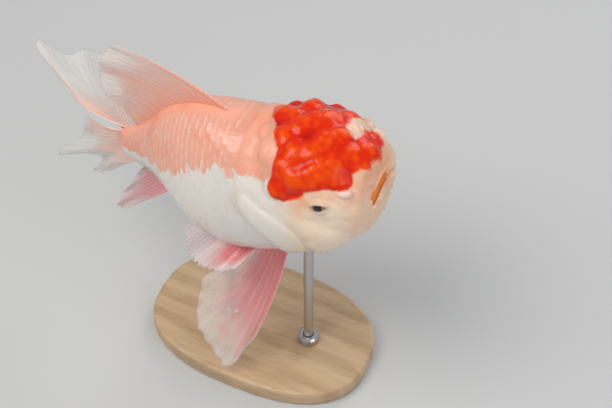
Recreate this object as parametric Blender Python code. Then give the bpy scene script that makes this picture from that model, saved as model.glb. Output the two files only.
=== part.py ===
"""A life-size hooded fancy goldfish (an oranda), held above a flat oval base by two slim rods.

The fish is laid out in its own frame: x forward from the mouth, y to its left, z up. A place on its skin is
given by how far it lies behind the mouth and by its angle round the body, from 0 on the back to 180 degrees
under the belly. The empty fish_pose pitches the whole fish nose up and lifts it over the base. The world's
origin is the centre of the base's underside. Lengths in the tables are millimetres, read through MM.
"""

import math
from typing import NamedTuple

import bmesh
import bpy
from mathutils import Matrix, Vector

MM = 0.001
GAP = 0.3 * MM
CLEARANCE = 0.4 * MM
PITCH = math.radians(13)
MOUTH_PLACE = Vector((51, 0, 122)) * MM
ROUND = 28

NOSE_TIP = -2.7 * MM
NOSE_END = 5 * MM
NOSE_ROUNDNESS = 2.3
SNOUT_SEARCH_END = 12 * MM
SNOUT_SEARCH_STEPS = 40
HEAD_ROWS = 15
HEAD_CROWDING = 1.5
STEM_CUT = 98 * MM
STEM_END = 111 * MM
STEM_TIP = 113.5 * MM
STEM_ROUNDNESS = 2.0
STEM_ROUND_SHARE = 0.6
FLANK_EXPONENT = 2.1
NECK_CENTRE = Vector((-41, 0, -2)) * MM
NECK_GAP = 0.45 * MM
STEM_CENTRE_HEIGHT = 1 * MM


class Station(NamedTuple):
    """One cross-section of the body, in millimetres."""

    back: float
    top: float
    low: float
    half_width: float
    widest_height: float
    ridge_exponent: float


STATIONS = (
    Station(5, 18.5, -16.5, 19.3, 1, 2.2),
    Station(11, 22.5, -21, 22.8, 0, 2.2),
    Station(20, 25, -25.5, 24.8, -1, 2.2),
    Station(32, 25.5, -30, 25.4, -2.5, 2.1),
    Station(44, 26.5, -33.5, 25.2, -4.5, 1.95),
    Station(56, 28.5, -36, 25, -6.5, 1.75),
    Station(66, 29.5, -36.5, 24.2, -7, 1.65),
    Station(76, 28.5, -32.5, 21.5, -6, 1.62),
    Station(86, 24.5, -23, 16, -3, 1.7),
    Station(95, 17, -13.5, 10.5, 0, 1.8),
    Station(103, 11.5, -9.5, 7, 1, 1.9),
    Station(111, 9.5, -8, 4.6, 0.8, 2.0),
)

# How far the chin draws back: height, millimetres; and how this fades along the head: distance behind the
# mouth, share.
CHIN_RECESS = ((-10, 2.4), (-7, 2.2), (-2.5, 1.2), (0.5, 0.25), (3, 0))
CHIN_FADE = ((0, 1), (4, 0.9), (10, 0.35), (16, 0))

# The rear edge of the gill covers, where the head parts from the trunk: angle, distance behind the mouth.
GILL_EDGE = (
    (0, 46),
    (40, 48),
    (60, 48.5),
    (72, 46.5),
    (80, 43.5),
    (92, 38.5),
    (106, 34.5),
    (135, 31.5),
    (180, 30),
)
GILL_COVER_WIDTH = ((60, 8), (85, 13), (105, 12), (125, 8), (142, 5))
GILL_COVER_ANGLES = (62, 142)
GILL_COVER_OVERLAP = 1.2 * MM
GILL_COVER_THICK = 1.4 * MM
GILL_COVER_GRID = (8, 5)

CROWN_BACK = (-1.5, 41.5)
CROWN_SPREAD = (
    (-2, 50),
    (5, 50),
    (10, 51),
    (14.5, 54),
    (20, 62),
    (26.5, 74),
    (32, 90),
    (36, 108),
    (38.5, 84),
    (41.5, 70),
)
CROWN_THICK = 5.0 * MM
# How much of its thickness the crown has, from its front edge at -1 to its rear edge at 1.
CROWN_RISE = ((-1, 0.45), (-0.3, 0.5), (0.15, 0.66), (0.5, 0.94), (1, 1))
CROWN_LOBE = 0.14
CROWN_LOBE_WAVES = (9, 10)
CROWN_LOBE_PHASES = (0.6, -0.5)
CROWN_GRID = (11, 12)
CROWN_CROWDING = 1.6

CHEEK_ANGLES = (83, 134)
CHEEK_FRONT = ((83, 14), (95, 6), (110, 3.2), (125, 5), (140, 12))
CHEEK_THICK = 2.9 * MM
CHEEK_GAP = 0.8 * MM
CHEEK_GRID = (7, 6)

NOSTRIL_BACK = 5.2
NOSTRIL_ANGLE = 53.5
NOSTRIL_HALF = (2.6, 5.2)
NOSTRIL_THICK = 1.7 * MM
NOSTRIL_GRID = (4, 4)
PAD_EDGE = 0.7 * MM
PAD_LIFT = 0.5 * MM

EYE_CENTRE = Vector((-13.9, 19.4, 8.5)) * MM
EYE_RADIUS = 4.2 * MM
EYE_SEGMENTS, EYE_ROWS = 14, 10

LIP_HALF_WIDTH = 10.6 * MM
LIP_RADIUS = 1.75 * MM
LIP_END_SHARE = 0.5
LIP_TURN = 0.9
LIP_STEPS, LIP_SIDES = 10, 7
LIP_UPPER = (7.4, -3.9)
LIP_LOWER = (3.5, -2.2)
MOUTH_RADII = Vector((3.5, 7.5, 0.55)) * MM
MOUTH_SEGMENTS, MOUTH_ROWS = 14, 8
MOUTH_HEIGHT = 5.4 * MM

# Each fin's bow says how far its rays bend in their middle, in millimetres, and its grid how many rows and
# columns its plate has.
DORSAL_BOW, DORSAL_GRID = (0, 0, 3.3), (6, 12)
PECTORAL_BOW, PECTORAL_GRID = (0, 2.5, 0), (5, 9)
PELVIC_BOW, PELVIC_GRID = (3.5, 3, 0), (6, 9)
ANAL_BOW, ANAL_GRID = (0, 1, 0), (4, 6)
TAIL_BOW_LEFT, TAIL_BOW_RIGHT, TAIL_GRID = (0, -4, 2), (0, -3, 1.5), (7, 15)

# Each fin is a fan of rays. Its first list runs along the base and its second along the tips, leading ray
# first. Places are millimetres behind the mouth, to the left of the mid-plane and above the mouth.
DORSAL_ROOTS = ((54, 0, 26.5), (67, 0, 27.5), (79, 0, 25), (91, 0, 17), (103, 0, 9.8))
DORSAL_TIPS = ((100.5, 0, 54.2), (107.5, -0.5, 48), (112, -1, 39), (112.5, -0.5, 28), (109, 0, 17))
PECTORAL_ROOTS = ((38, 20.5, -21), (39.5, 21, -19), (41, 21.5, -17), (43, 22.5, -15), (44.5, 22.8, -13.5))
PECTORAL_TIPS = ((57, 26, -32), (66.5, 28.5, -33), (73, 30, -28), (75, 29.5, -20), (73, 28, -11))
PELVIC_ROOTS = ((46.5, 7.5, -30.5), (48.5, 7.8, -31.2), (50.5, 8, -31.6), (52.5, 8, -32), (54.5, 8, -32.2))
PELVIC_TIPS_LEFT = ((76, 14, -70), (92, 20, -80), (100, 19, -72), (101, 15, -60), (93, 11, -48))
PELVIC_TIPS_RIGHT = ((63, 21, -80.5), (76.5, 30.5, -94.5), (85, 28, -84), (89.5, 21, -71), (85.5, 14, -57))
ANAL_ROOTS = ((88, 3.2, -17), (91, 3, -14), (94.5, 2.8, -11.5), (98, 2.5, -9))
ANAL_TIPS = ((119, 6.3, -32), (124, 7.5, -31.5), (119.5, 7, -24), (111.5, 5, -15))
TAIL_ROOTS = (
    (106, 0.75, 8),
    (108, 0.9, 5.5),
    (109, 1.0, 2.5),
    (109, 1.1, -0.5),
    (108, 1.2, -3.5),
    (106.5, 1.3, -5.8),
)
TAIL_TIPS_LEFT = (
    (143, 10, 12),
    (174, 33, 15.5),
    (161.5, 38, 9),
    (161, 51, 0),
    (149, 53, -10),
    (131, 39, -19),
)
TAIL_TIPS_RIGHT = (
    (133.5, 5, 7),
    (148, 9.5, -13),
    (165.5, 13, -29.5),
    (138.5, 9.7, -21.5),
    (149, 11, -33.5),
    (122, 7, -19),
)
TAIL_ROOT_RIGHT_SIDE = -1
FIN_ROOT_THICK = 1.3 * MM
FIN_EDGE_THICK = 0.65 * MM

BASE_HALF = Vector((50, 32)) * MM
BASE_THICK = 8 * MM
BASE_EXPONENT = 2.5
BASE_BEVEL = 1.6 * MM
BASE_BEVEL_STEPS = 2
BASE_SIDES = 36
ROD_PLACES = {"front": 22 * MM, "rear": -15 * MM}
ROD_RADIUS = 2.1 * MM
ROD_SIDES = 14
ROD_REACH = {"front": 92 * MM, "rear": 84 * MM}
FERRULE_RADIUS = 4.6 * MM
FERRULE_HEIGHT = 4 * MM
FERRULE_BEVEL = 0.8 * MM


def clear_scene():
    for old in list(bpy.data.objects):
        bpy.data.objects.remove(old)


def finish(name, colour, roughness, metallic=0.0):
    made = bpy.data.materials.new(name)
    made.use_nodes = True
    shader = made.node_tree.nodes["Principled BSDF"]
    shader.inputs["Base Color"].default_value = (*colour, 1)
    shader.inputs["Roughness"].default_value = roughness
    shader.inputs["Metallic"].default_value = metallic
    return made


def through(knots, x):
    """The smooth curve through (place, value) knots, read at x. Beyond the ends it stays level."""
    if x <= knots[0][0]:
        return knots[0][1]
    if x >= knots[-1][0]:
        return knots[-1][1]
    i = next(k for k in range(len(knots) - 1) if x <= knots[k + 1][0])
    (x0, y0), (x1, y1) = knots[i], knots[i + 1]
    step = x1 - x0
    slope = (y1 - y0) / step
    before = slope if i == 0 else (y1 - knots[i - 1][1]) / (x1 - knots[i - 1][0])
    after = slope if i + 2 == len(knots) else (knots[i + 2][1] - y0) / (knots[i + 2][0] - x0)
    t = (x - x0) / step
    curve = (2 * t**3 - 3 * t**2 + 1) * y0 + (3 * t**2 - 2 * t**3) * y1
    return curve + step * ((t**3 - 2 * t**2 + t) * before + (t**3 - t**2) * after)


SECTION_KNOTS = {
    field: tuple((station.back, getattr(station, field)) for station in STATIONS)
    for field in Station._fields[1:]
}


def section(back):
    """The body's top, low, half width and widest height at this place, in metres, and its ridge exponent."""
    found = {field: through(knots, back / MM) for field, knots in SECTION_KNOTS.items()}
    scale = end_scale(back)
    middle = found["widest_height"] * MM
    return (
        (found["top"] * MM - middle) * scale,
        (middle - found["low"] * MM) * scale,
        found["half_width"] * MM * scale,
        middle,
        found["ridge_exponent"],
    )


def end_scale(back):
    """How far the body has rounded off towards the snout or the tail's root: 1 in between, 0 at the tips."""
    if back < NOSE_END:
        part, power = min(1, (NOSE_END - back) / (NOSE_END - NOSE_TIP)), NOSE_ROUNDNESS
    elif back > STEM_END:
        part, power = min(1, (back - STEM_END) / (STEM_TIP - STEM_END)), STEM_ROUNDNESS
    else:
        return 1
    return (1 - part**power) ** (1 / power)


def signed_power(value, power):
    return math.copysign(abs(value) ** power, value)


def skin_place(back, angle):
    """The point of the plain body surface at this distance behind the mouth and this angle from the back."""
    rise, drop, half, middle, ridge = section(back)
    across = half * signed_power(math.sin(angle), 2 / FLANK_EXPONENT)
    upward = math.cos(angle)
    if upward > 0:
        height = middle + rise * upward ** (2 / ridge)
    else:
        height = middle - drop * (-upward) ** (2 / FLANK_EXPONENT)
    recess = through(CHIN_RECESS, height / MM) * through(CHIN_FADE, back / MM) * MM
    return Vector((-back - recess, across, height))


def skin_normal(back, angle):
    small_step, small_turn = 0.1 * MM, 0.01
    if back <= NOSE_TIP + small_step:
        return Vector((1, 0, 0))
    if back >= STEM_TIP - small_step:
        return Vector((-1, 0, 0))
    along = skin_place(back + small_step, angle) - skin_place(back - small_step, angle)
    around = skin_place(back, angle + small_turn) - skin_place(back, angle - small_turn)
    return around.cross(along).normalized()


def over_skin(back, angle, lift):
    return skin_place(back, angle) + skin_normal(back, angle) * lift


def gill_edge(angle):
    return through(GILL_EDGE, abs(math.degrees(angle))) * MM


def neck_edge(angle):
    return gill_edge(angle) + NECK_GAP


def new_piece(name, mesh, parent, material=None):
    made = bpy.data.objects.new(name, mesh)
    bpy.context.scene.collection.objects.link(made)
    made.parent = parent
    if material:
        mesh.materials.append(material)
        mesh.shade_smooth()
    else:
        made.hide_render = True
        made.display_type = "WIRE"
    return made


def closed_mesh(name, points, faces):
    mesh = bpy.data.meshes.new(name)
    shape = bmesh.new()
    corners = [shape.verts.new(point) for point in points]
    for face in faces:
        shape.faces.new([corners[i] for i in face])
    bmesh.ops.recalc_face_normals(shape, faces=shape.faces)
    shape.to_mesh(mesh)
    shape.free()
    return mesh


def loft(name, rings, first, last):
    """A closed mesh through rings of points, drawn together to a point at each end."""
    count = len(rings[0])
    points = [first, *(point for ring in rings for point in ring), last]
    faces = []
    for j in range(count):
        k = (j + 1) % count
        faces.append((0, 1 + j, 1 + k))
        for i in range(len(rings) - 1):
            here = 1 + i * count
            faces.append((here + j, here + count + j, here + count + k, here + k))
        rear = 1 + (len(rings) - 1) * count
        faces.append((len(points) - 1, rear + k, rear + j))
    return closed_mesh(name, points, faces)


def turns():
    """The angles round the body of every ring's points, so that rings that face each other match."""
    return [2 * math.pi * j / ROUND - math.pi for j in range(ROUND)]


def body_ring(place, lift=0.0):
    """A ring on the body: place gives the distance behind the mouth for each angle."""
    return [over_skin(place(angle), angle, lift) for angle in turns()]


def between(start, end, share):
    return lambda angle: start(angle) + (end(angle) - start(angle)) * share


def level(back):
    return lambda angle: back


def make_head(pose, skin):
    """From the snout back to the gill edge, with sockets for the eyes and the mouth's slit."""
    shares = [(i / HEAD_ROWS) ** HEAD_CROWDING for i in range(1, HEAD_ROWS + 1)]
    rings = [body_ring(between(level(NOSE_TIP), gill_edge, share)) for share in shares]
    front = skin_place(NOSE_TIP, 0)
    head = new_piece("head", loft("head", rings, front, NECK_CENTRE), pose, skin)
    for side in (1, -1):
        socket = ball("eye_socket", EYE_RADIUS + GAP, pose, EYE_SEGMENTS, EYE_ROWS)
        socket.location = EYE_CENTRE * Vector((1, side, 1))
        cut(head, socket)
    mouth = ball("mouth_slit", 1, pose, MOUTH_SEGMENTS, MOUTH_ROWS)
    mouth.data.transform(Matrix.Diagonal((*MOUTH_RADII, 1)))
    mouth.location = (-skin_front(0, MOUTH_HEIGHT), 0, MOUTH_HEIGHT)
    cut(head, mouth)


def make_trunk(pose, skin):
    """From the gill edge to the start of the tail's stem."""
    rows = 14
    rings = [body_ring(between(neck_edge, level(STEM_CUT), i / rows)) for i in range(rows + 1)]
    front = NECK_CENTRE - Vector((NECK_GAP, 0, 0))
    rear = Vector((-STEM_CUT, 0, STEM_CENTRE_HEIGHT))
    new_piece("trunk", loft("trunk", rings, front, rear), pose, skin)


def make_tail_stem(pose, skin):
    rows = 6
    start = STEM_CUT + GAP
    rings = [body_ring(level(start + (STEM_END - start) * i / rows)) for i in range(rows + 1)]
    rings.append(body_ring(level(STEM_END + (STEM_TIP - STEM_END) * STEM_ROUND_SHARE)))
    front = Vector((-start, 0, STEM_CENTRE_HEIGHT))
    rear = skin_place(STEM_TIP, 0)
    new_piece("tail_stem", loft("tail_stem", rings, front, rear), pose, skin)


def make_body_clearance(pose):
    """The whole body as one solid, a gap wider all round. Whatever grows from the body is cut back to it."""
    rows = 64
    middle, reach = (STEM_TIP + NOSE_TIP) / 2, (STEM_TIP - NOSE_TIP) / 2
    places = [middle - reach * math.cos(math.pi * i / rows) for i in range(1, rows)]
    rings = [body_ring(level(back), CLEARANCE) for back in places]
    front = skin_place(NOSE_TIP, 0) + Vector((CLEARANCE, 0, 0))
    rear = skin_place(STEM_TIP, 0) - Vector((CLEARANCE, 0, 0))
    return new_piece("body_clearance", loft("body_clearance", rings, front, rear), pose)


def ball(name, radius, parent, segments, rows, material=None):
    mesh = bpy.data.meshes.new(name)
    shape = bmesh.new()
    bmesh.ops.create_uvsphere(shape, u_segments=segments, v_segments=rows, radius=radius)
    shape.to_mesh(mesh)
    shape.free()
    return new_piece(name, mesh, parent, material)


def cut(piece, cutter):
    modifier = piece.modifiers.new(f"clear_{cutter.name}", "BOOLEAN")
    modifier.operation = "DIFFERENCE"
    modifier.solver = "EXACT"
    modifier.object = cutter


def skin_front(across, height):
    """How far behind the mouth the snout's surface lies at this place on its front, found by halving."""
    near, far = NOSE_TIP, SNOUT_SEARCH_END
    for _ in range(SNOUT_SEARCH_STEPS):
        back = (near + far) / 2
        rise, drop, half, middle, ridge = section(back)
        above = height - middle
        reach, power = (rise, ridge) if above > 0 else (drop, FLANK_EXPONENT)
        if (abs(across) / half) ** FLANK_EXPONENT + (abs(above) / reach) ** power > 1:
            near = back
        else:
            far = back
    return far


def level_swell(_x, _y):
    """A cushion of even thickness."""
    return 1


def crown_swell(x, y):
    """The crown's lobes and its rise towards the rear, at a point of the unit disc."""
    wave = math.cos(CROWN_LOBE_WAVES[0] * x + CROWN_LOBE_PHASES[0])
    wave *= math.cos(CROWN_LOBE_WAVES[1] * y + CROWN_LOBE_PHASES[1])
    return through(CROWN_RISE, y) * (1 + CROWN_LOBE * wave)


def pad(name, place, thickness, grid, pose, material, swell=level_swell):
    """A cushion of growth over the skin. place turns a point of the unit disc into a place on the skin."""
    rows, columns = grid
    tops, unders = [], []
    for i in range(rows + 1):
        for j in range(columns + 1):
            u, v = 2 * j / columns - 1, 2 * i / rows - 1
            x, y = u * math.sqrt(1 - v * v / 2), v * math.sqrt(1 - u * u / 2)
            dome = math.sqrt(max(0, 1 - (x * x + y * y) ** 2))
            height = PAD_EDGE + (thickness - PAD_EDGE) * dome * swell(x, y)
            back, angle = place(x, y)
            unders.append(over_skin(back, angle, PAD_LIFT))
            tops.append(over_skin(back, angle, PAD_LIFT + height))
    mesh = plate_mesh(name, tops, unders, rows, columns)
    return new_piece(name, mesh, pose, material)


def plate_mesh(name, tops, unders, rows, columns):
    """A closed plate between two grids of points."""
    width = columns + 1
    offset = len(tops)
    faces = []
    for i in range(rows):
        for j in range(columns):
            a = i * width + j
            faces.append((a, a + 1, a + width + 1, a + width))
            faces.append((a + offset, a + width + offset, a + width + 1 + offset, a + 1 + offset))
    rim = [*range(columns), *(i * width + columns for i in range(rows))]
    rim += [rows * width + j for j in range(columns, 0, -1)]
    rim += [i * width for i in range(rows, 0, -1)]
    for a, b in zip(rim, rim[1:] + rim[:1]):
        faces.append((b, a, a + offset, b + offset))
    return closed_mesh(name, [*tops, *unders], faces)


def crown_place(x, y):
    front, rear = CROWN_BACK
    back = front + (rear - front) * ((1 + y) / 2) ** CROWN_CROWDING
    return back * MM, math.radians(through(CROWN_SPREAD, back)) * x


def side_place(side, angles, front, rear):
    """Turns the unit disc into a patch on one side of the head, between a front and a rear edge."""

    def place(x, y):
        low, high = angles
        degrees = (low + high) / 2 + (high - low) / 2 * y
        middle, half = (front(degrees) + rear(degrees)) / 2, (rear(degrees) - front(degrees)) / 2
        return middle + half * x, side * math.radians(degrees)

    return place


def gill_cover_front(degrees):
    return gill_edge(math.radians(degrees)) - through(GILL_COVER_WIDTH, degrees) * MM


def make_head_growth(pose, hood, cheek, cover):
    """The lobed crown, the swollen cheeks, the gill covers and the flaps at the nostrils."""
    pad("hood_crown", crown_place, CROWN_THICK, CROWN_GRID, pose, hood, crown_swell)
    for side, word in ((1, "left"), (-1, "right")):
        cheek_place = side_place(
            side,
            CHEEK_ANGLES,
            lambda degrees: through(CHEEK_FRONT, degrees) * MM,
            lambda degrees: gill_cover_front(degrees) - CHEEK_GAP,
        )
        pad(f"cheek_{word}", cheek_place, CHEEK_THICK, CHEEK_GRID, pose, cheek)
        cover_place = side_place(
            side,
            GILL_COVER_ANGLES,
            gill_cover_front,
            lambda degrees: gill_edge(math.radians(degrees)) + GILL_COVER_OVERLAP,
        )
        pad(f"gill_cover_{word}", cover_place, GILL_COVER_THICK, GILL_COVER_GRID, pose, cover)
        half_back, half_angle = NOSTRIL_HALF
        flap_place = side_place(
            side,
            (NOSTRIL_ANGLE - half_angle, NOSTRIL_ANGLE + half_angle),
            level((NOSTRIL_BACK - half_back) * MM),
            level((NOSTRIL_BACK + half_back) * MM),
        )
        pad(f"nostril_flap_{word}", flap_place, NOSTRIL_THICK, NOSTRIL_GRID, pose, cheek)


def make_eyes(pose, material):
    for side, word in ((1, "left"), (-1, "right")):
        eye = ball(f"eye_{word}", EYE_RADIUS, pose, EYE_SEGMENTS, EYE_ROWS, material)
        eye.location = EYE_CENTRE * Vector((1, side, 1))


def make_lip(name, shape, pose, material, clearance):
    """A rounded lip that follows the snout's front and droops to the mouth's corners."""
    height, droop = shape
    rings = []
    for i in range(LIP_STEPS + 1):
        t = 2 * i / LIP_STEPS - 1
        across, upward = t * LIP_HALF_WIDTH, (height + droop * t * t) * MM
        centre = Vector((-skin_front(across, upward), across, upward))
        radius = LIP_RADIUS * (1 - (1 - LIP_END_SHARE) * t * t)
        outward = Vector((math.cos(LIP_TURN * t), math.sin(LIP_TURN * t), 0))
        turn = [2 * math.pi * j / LIP_SIDES for j in range(LIP_SIDES)]
        rings.append([centre + radius * (outward * math.cos(a) + Vector((0, 0, math.sin(a)))) for a in turn])
    ends = [sum(ring, Vector()) / LIP_SIDES for ring in (rings[0], rings[-1])]
    lip = new_piece(name, loft(name, rings, *ends), pose, material)
    cut(lip, clearance)


def spread_through(places, share):
    """The point at this share of the way along a smooth line through evenly spread places of a table."""
    count = len(places) - 1
    knots = [[(i / count, place[axis]) for i, place in enumerate(places)] for axis in range(3)]
    back, left, up = (through(line, share) for line in knots)
    return Vector((-back, left, up)) * MM


def make_fin(name, roots, tips, bow, grid, pose, material, clearance, side=1, root_side=None):
    """A fan of rays as a thin plate. bow bends the rays, side mirrors it and root_side mirrors its base."""
    flip = Vector((1, side, 1))
    root_flip = Vector((1, side if root_side is None else root_side, 1))

    def ray(along, share):
        root = spread_through(roots, share) * root_flip
        tip = spread_through(tips, share) * flip
        bend = Vector(bow) * flip * MM * math.sin(math.pi * along)
        return root.lerp(tip, along) + bend

    rows, columns = grid
    tops, unders = [], []
    small = 0.01
    for i in range(rows + 1):
        for j in range(columns + 1):
            along, share = i / rows, j / columns
            outward = ray(along + small, share) - ray(along - small, share)
            low, high = max(0, share - small), min(1, share + small)
            across = ray(max(along, 0.1), high) - ray(max(along, 0.1), low)
            normal = outward.cross(across).normalized()
            thick = FIN_ROOT_THICK + (FIN_EDGE_THICK - FIN_ROOT_THICK) * along
            tops.append(ray(along, share) + normal * thick / 2)
            unders.append(ray(along, share) - normal * thick / 2)
    mesh = plate_mesh(name, tops, unders, rows, columns)
    fin = new_piece(name, mesh, pose, material)
    cut(fin, clearance)


def make_fins(pose, material, clearance):
    shared = (pose, material, clearance)
    make_fin("dorsal_fin", DORSAL_ROOTS, DORSAL_TIPS, DORSAL_BOW, DORSAL_GRID, *shared)
    for side, word, pelvic_tips in ((1, "left", PELVIC_TIPS_LEFT), (-1, "right", PELVIC_TIPS_RIGHT)):
        pectoral = (PECTORAL_ROOTS, PECTORAL_TIPS, PECTORAL_BOW, PECTORAL_GRID)
        make_fin(f"pectoral_fin_{word}", *pectoral, *shared, side)
        make_fin(f"pelvic_fin_{word}", PELVIC_ROOTS, pelvic_tips, PELVIC_BOW, PELVIC_GRID, *shared, side)
        make_fin(f"anal_fin_{word}", ANAL_ROOTS, ANAL_TIPS, ANAL_BOW, ANAL_GRID, *shared, side)
    make_fin("tail_fin_left", TAIL_ROOTS, TAIL_TIPS_LEFT, TAIL_BOW_LEFT, TAIL_GRID, *shared)
    tail_right = (TAIL_ROOTS, TAIL_TIPS_RIGHT, TAIL_BOW_RIGHT, TAIL_GRID)
    make_fin("tail_fin_right", *tail_right, *shared, root_side=TAIL_ROOT_RIGHT_SIDE)


def oval(half, exponent, count):
    """Points round a superellipse in the plane."""
    points = []
    for i in range(count):
        angle = 2 * math.pi * i / count
        across = half.x * signed_power(math.cos(angle), 2 / exponent)
        points.append(Vector((across, half.y * signed_power(math.sin(angle), 2 / exponent))))
    return points


def make_base(material):
    outline = oval(BASE_HALF, BASE_EXPONENT, BASE_SIDES)
    count = len(outline)
    points = [Vector((p.x, p.y, height)) for height in (0, BASE_THICK) for p in outline]
    sides = [(i, (i + 1) % count, (i + 1) % count + count, i + count) for i in range(count)]
    mesh = closed_mesh("stand_base", points, [tuple(range(count)), tuple(range(count, 2 * count)), *sides])
    base = new_piece("stand_base", mesh, None, material)
    bevel = base.modifiers.new("rounded_edges", "BEVEL")
    bevel.width = BASE_BEVEL
    bevel.segments = BASE_BEVEL_STEPS
    bevel.limit_method = "ANGLE"


def make_rod(word, material, clearance):
    """One upright rod, from just over the base up to the belly, and the ferrule round its foot."""
    sides = ROD_SIDES
    foot, top = BASE_THICK + GAP, ROD_REACH[word]
    mesh = bpy.data.meshes.new(f"stand_rod_{word}")
    shape = bmesh.new()
    bmesh.ops.create_cone(
        shape, cap_ends=True, segments=sides, radius1=ROD_RADIUS, radius2=ROD_RADIUS, depth=top - foot
    )
    shape.to_mesh(mesh)
    shape.free()
    rod = new_piece(f"stand_rod_{word}", mesh, None, material)
    rod.location = (ROD_PLACES[word], 0, (top + foot) / 2)
    cut(rod, clearance)
    inner, outer, lip = ROD_RADIUS + GAP, FERRULE_RADIUS, FERRULE_BEVEL
    profile = [(inner, foot), (outer, foot), (outer, foot + FERRULE_HEIGHT - lip)]
    profile += [(outer - lip, foot + FERRULE_HEIGHT), (inner, foot + FERRULE_HEIGHT)]
    ring = [
        Vector((radius * math.cos(a), radius * math.sin(a), height))
        for a in (2 * math.pi * i / sides for i in range(sides))
        for radius, height in profile
    ]
    steps = len(profile)
    faces = []
    for i in range(sides):
        for j in range(steps):
            here, there = i * steps, (i + 1) % sides * steps
            faces.append((here + j, there + j, there + (j + 1) % steps, here + (j + 1) % steps))
    mesh = closed_mesh(f"stand_ferrule_{word}", ring, faces)
    ferrule = new_piece(f"stand_ferrule_{word}", mesh, None, material)
    ferrule.location = (ROD_PLACES[word], 0, 0)


def main():
    clear_scene()
    salmon = finish("salmon_skin", (0.93, 0.42, 0.27), 0.35)
    orange_red = finish("orange_red_hood", (0.82, 0.09, 0.01), 0.3)
    cream = finish("cream_skin", (0.80, 0.62, 0.45), 0.35)
    orange = finish("orange_lip", (0.80, 0.36, 0.08), 0.35)
    fin_pink = finish("pink_fin", (0.90, 0.50, 0.45), 0.4)
    black_eye = finish("dark_eye", (0.02, 0.02, 0.02), 0.1)
    oak = finish("pale_oak", (0.62, 0.45, 0.28), 0.5)
    steel = finish("brushed_steel", (0.62, 0.62, 0.62), 0.3, 1.0)

    pose = bpy.data.objects.new("fish_pose", None)
    bpy.context.scene.collection.objects.link(pose)
    pose.location = MOUTH_PLACE
    pose.rotation_euler = (0, -PITCH, 0)

    clearance = make_body_clearance(pose)
    make_head(pose, cream)
    make_trunk(pose, salmon)
    make_tail_stem(pose, salmon)
    make_head_growth(pose, orange_red, cream, salmon)
    make_eyes(pose, black_eye)
    make_lip("lip_upper", LIP_UPPER, pose, orange, clearance)
    make_lip("lip_lower", LIP_LOWER, pose, cream, clearance)
    make_fins(pose, fin_pink, clearance)
    make_base(oak)
    for word in ROD_PLACES:
        make_rod(word, steel, clearance)


main()
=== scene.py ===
"""The looks of a life-size hooded fancy goldfish (an oranda) on its display stand.

The fish is laid out in its own frame, in millimetres: x forward from the mouth, y to its left, z up. A place
on its skin is given by how far it lies behind the mouth and by its angle round the body, from 0 on the back
to 180 degrees under the belly. One skin covers the head, the trunk and the tail's stem; scales, rayed fins
and eyes are pieces of their own. The stand keeps the frame's own solids and gets its finishes here.
"""

import logging
import math
from dataclasses import dataclass, field, replace
from enum import Enum
from functools import cached_property
from typing import Any, Callable, NamedTuple, Sequence

import bmesh
import bpy
import numpy as np
from bpy.types import Material, Mesh, Node, NodeSocket, NodeTree, Object
from mathutils import Matrix, Vector
from mathutils.bvhtree import BVHTree

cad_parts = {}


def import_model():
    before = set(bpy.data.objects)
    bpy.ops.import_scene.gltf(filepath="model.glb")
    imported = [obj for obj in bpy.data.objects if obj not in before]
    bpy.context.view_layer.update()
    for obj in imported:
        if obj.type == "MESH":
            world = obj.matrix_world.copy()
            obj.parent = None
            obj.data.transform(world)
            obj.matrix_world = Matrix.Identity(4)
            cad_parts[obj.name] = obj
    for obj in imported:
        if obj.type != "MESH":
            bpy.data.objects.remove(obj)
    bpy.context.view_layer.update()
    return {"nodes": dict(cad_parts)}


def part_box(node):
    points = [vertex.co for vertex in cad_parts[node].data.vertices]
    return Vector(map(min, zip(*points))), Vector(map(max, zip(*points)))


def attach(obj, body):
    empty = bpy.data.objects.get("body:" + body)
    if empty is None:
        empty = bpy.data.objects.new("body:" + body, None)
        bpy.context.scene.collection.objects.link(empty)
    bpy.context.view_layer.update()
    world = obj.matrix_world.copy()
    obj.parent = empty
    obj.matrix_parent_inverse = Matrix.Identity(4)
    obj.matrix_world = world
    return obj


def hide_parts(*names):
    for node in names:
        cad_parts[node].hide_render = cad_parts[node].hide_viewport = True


log = logging.getLogger("goldfish")

MM = 0.001
TINY = 1e-9
BODY = "root"
BAKE_MAP = "OFBake"
Array = np.ndarray
Number = float | np.ndarray
Colour = tuple[float, float, float]
Point = tuple[float, float, float]
Pair = tuple[float, float]
Values = dict[Any, Any]


class Side(Enum):
    """The two sides of the fish, each with its sign along y."""

    LEFT = 1
    RIGHT = -1

    @property
    def word(self) -> str:
        """The side's name as the nodes have it."""
        return self.name.lower()


# ---- measures and curves


class Curve:
    """A smooth curve through (place, value) knots, read at many places at once and level beyond its ends."""

    def __init__(self, *knots: Pair) -> None:
        """Works out the curve's slope at every knot.

        Args:
            *knots: The (place, value) pairs, in rising order of place.
        """
        self.places, self.values = (np.array(column, float) for column in zip(*knots))
        secants = np.diff(self.values) / np.diff(self.places)
        wide = self.places[2:] - self.places[:-2]
        inner = (self.values[2:] - self.values[:-2]) / wide
        self.slopes = np.concatenate((secants[:1], inner, secants[-1:]))

    def __call__(self, place: Number) -> Array:
        """Reads the curve.

        Args:
            place: Where to read it, a number or an array.

        Returns:
            The curve's values, in the shape of place.
        """
        x = np.clip(np.asarray(place, float), self.places[0], self.places[-1])
        i = np.clip(np.searchsorted(self.places, x) - 1, 0, len(self.places) - 2)
        step = self.places[i + 1] - self.places[i]
        t = (x - self.places[i]) / step
        curve = (2 * t**3 - 3 * t**2 + 1) * self.values[i] + (3 * t**2 - 2 * t**3) * self.values[i + 1]
        bend = (t**3 - 2 * t**2 + t) * self.slopes[i] + (t**3 - t**2) * self.slopes[i + 1]
        return curve + step * bend


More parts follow.
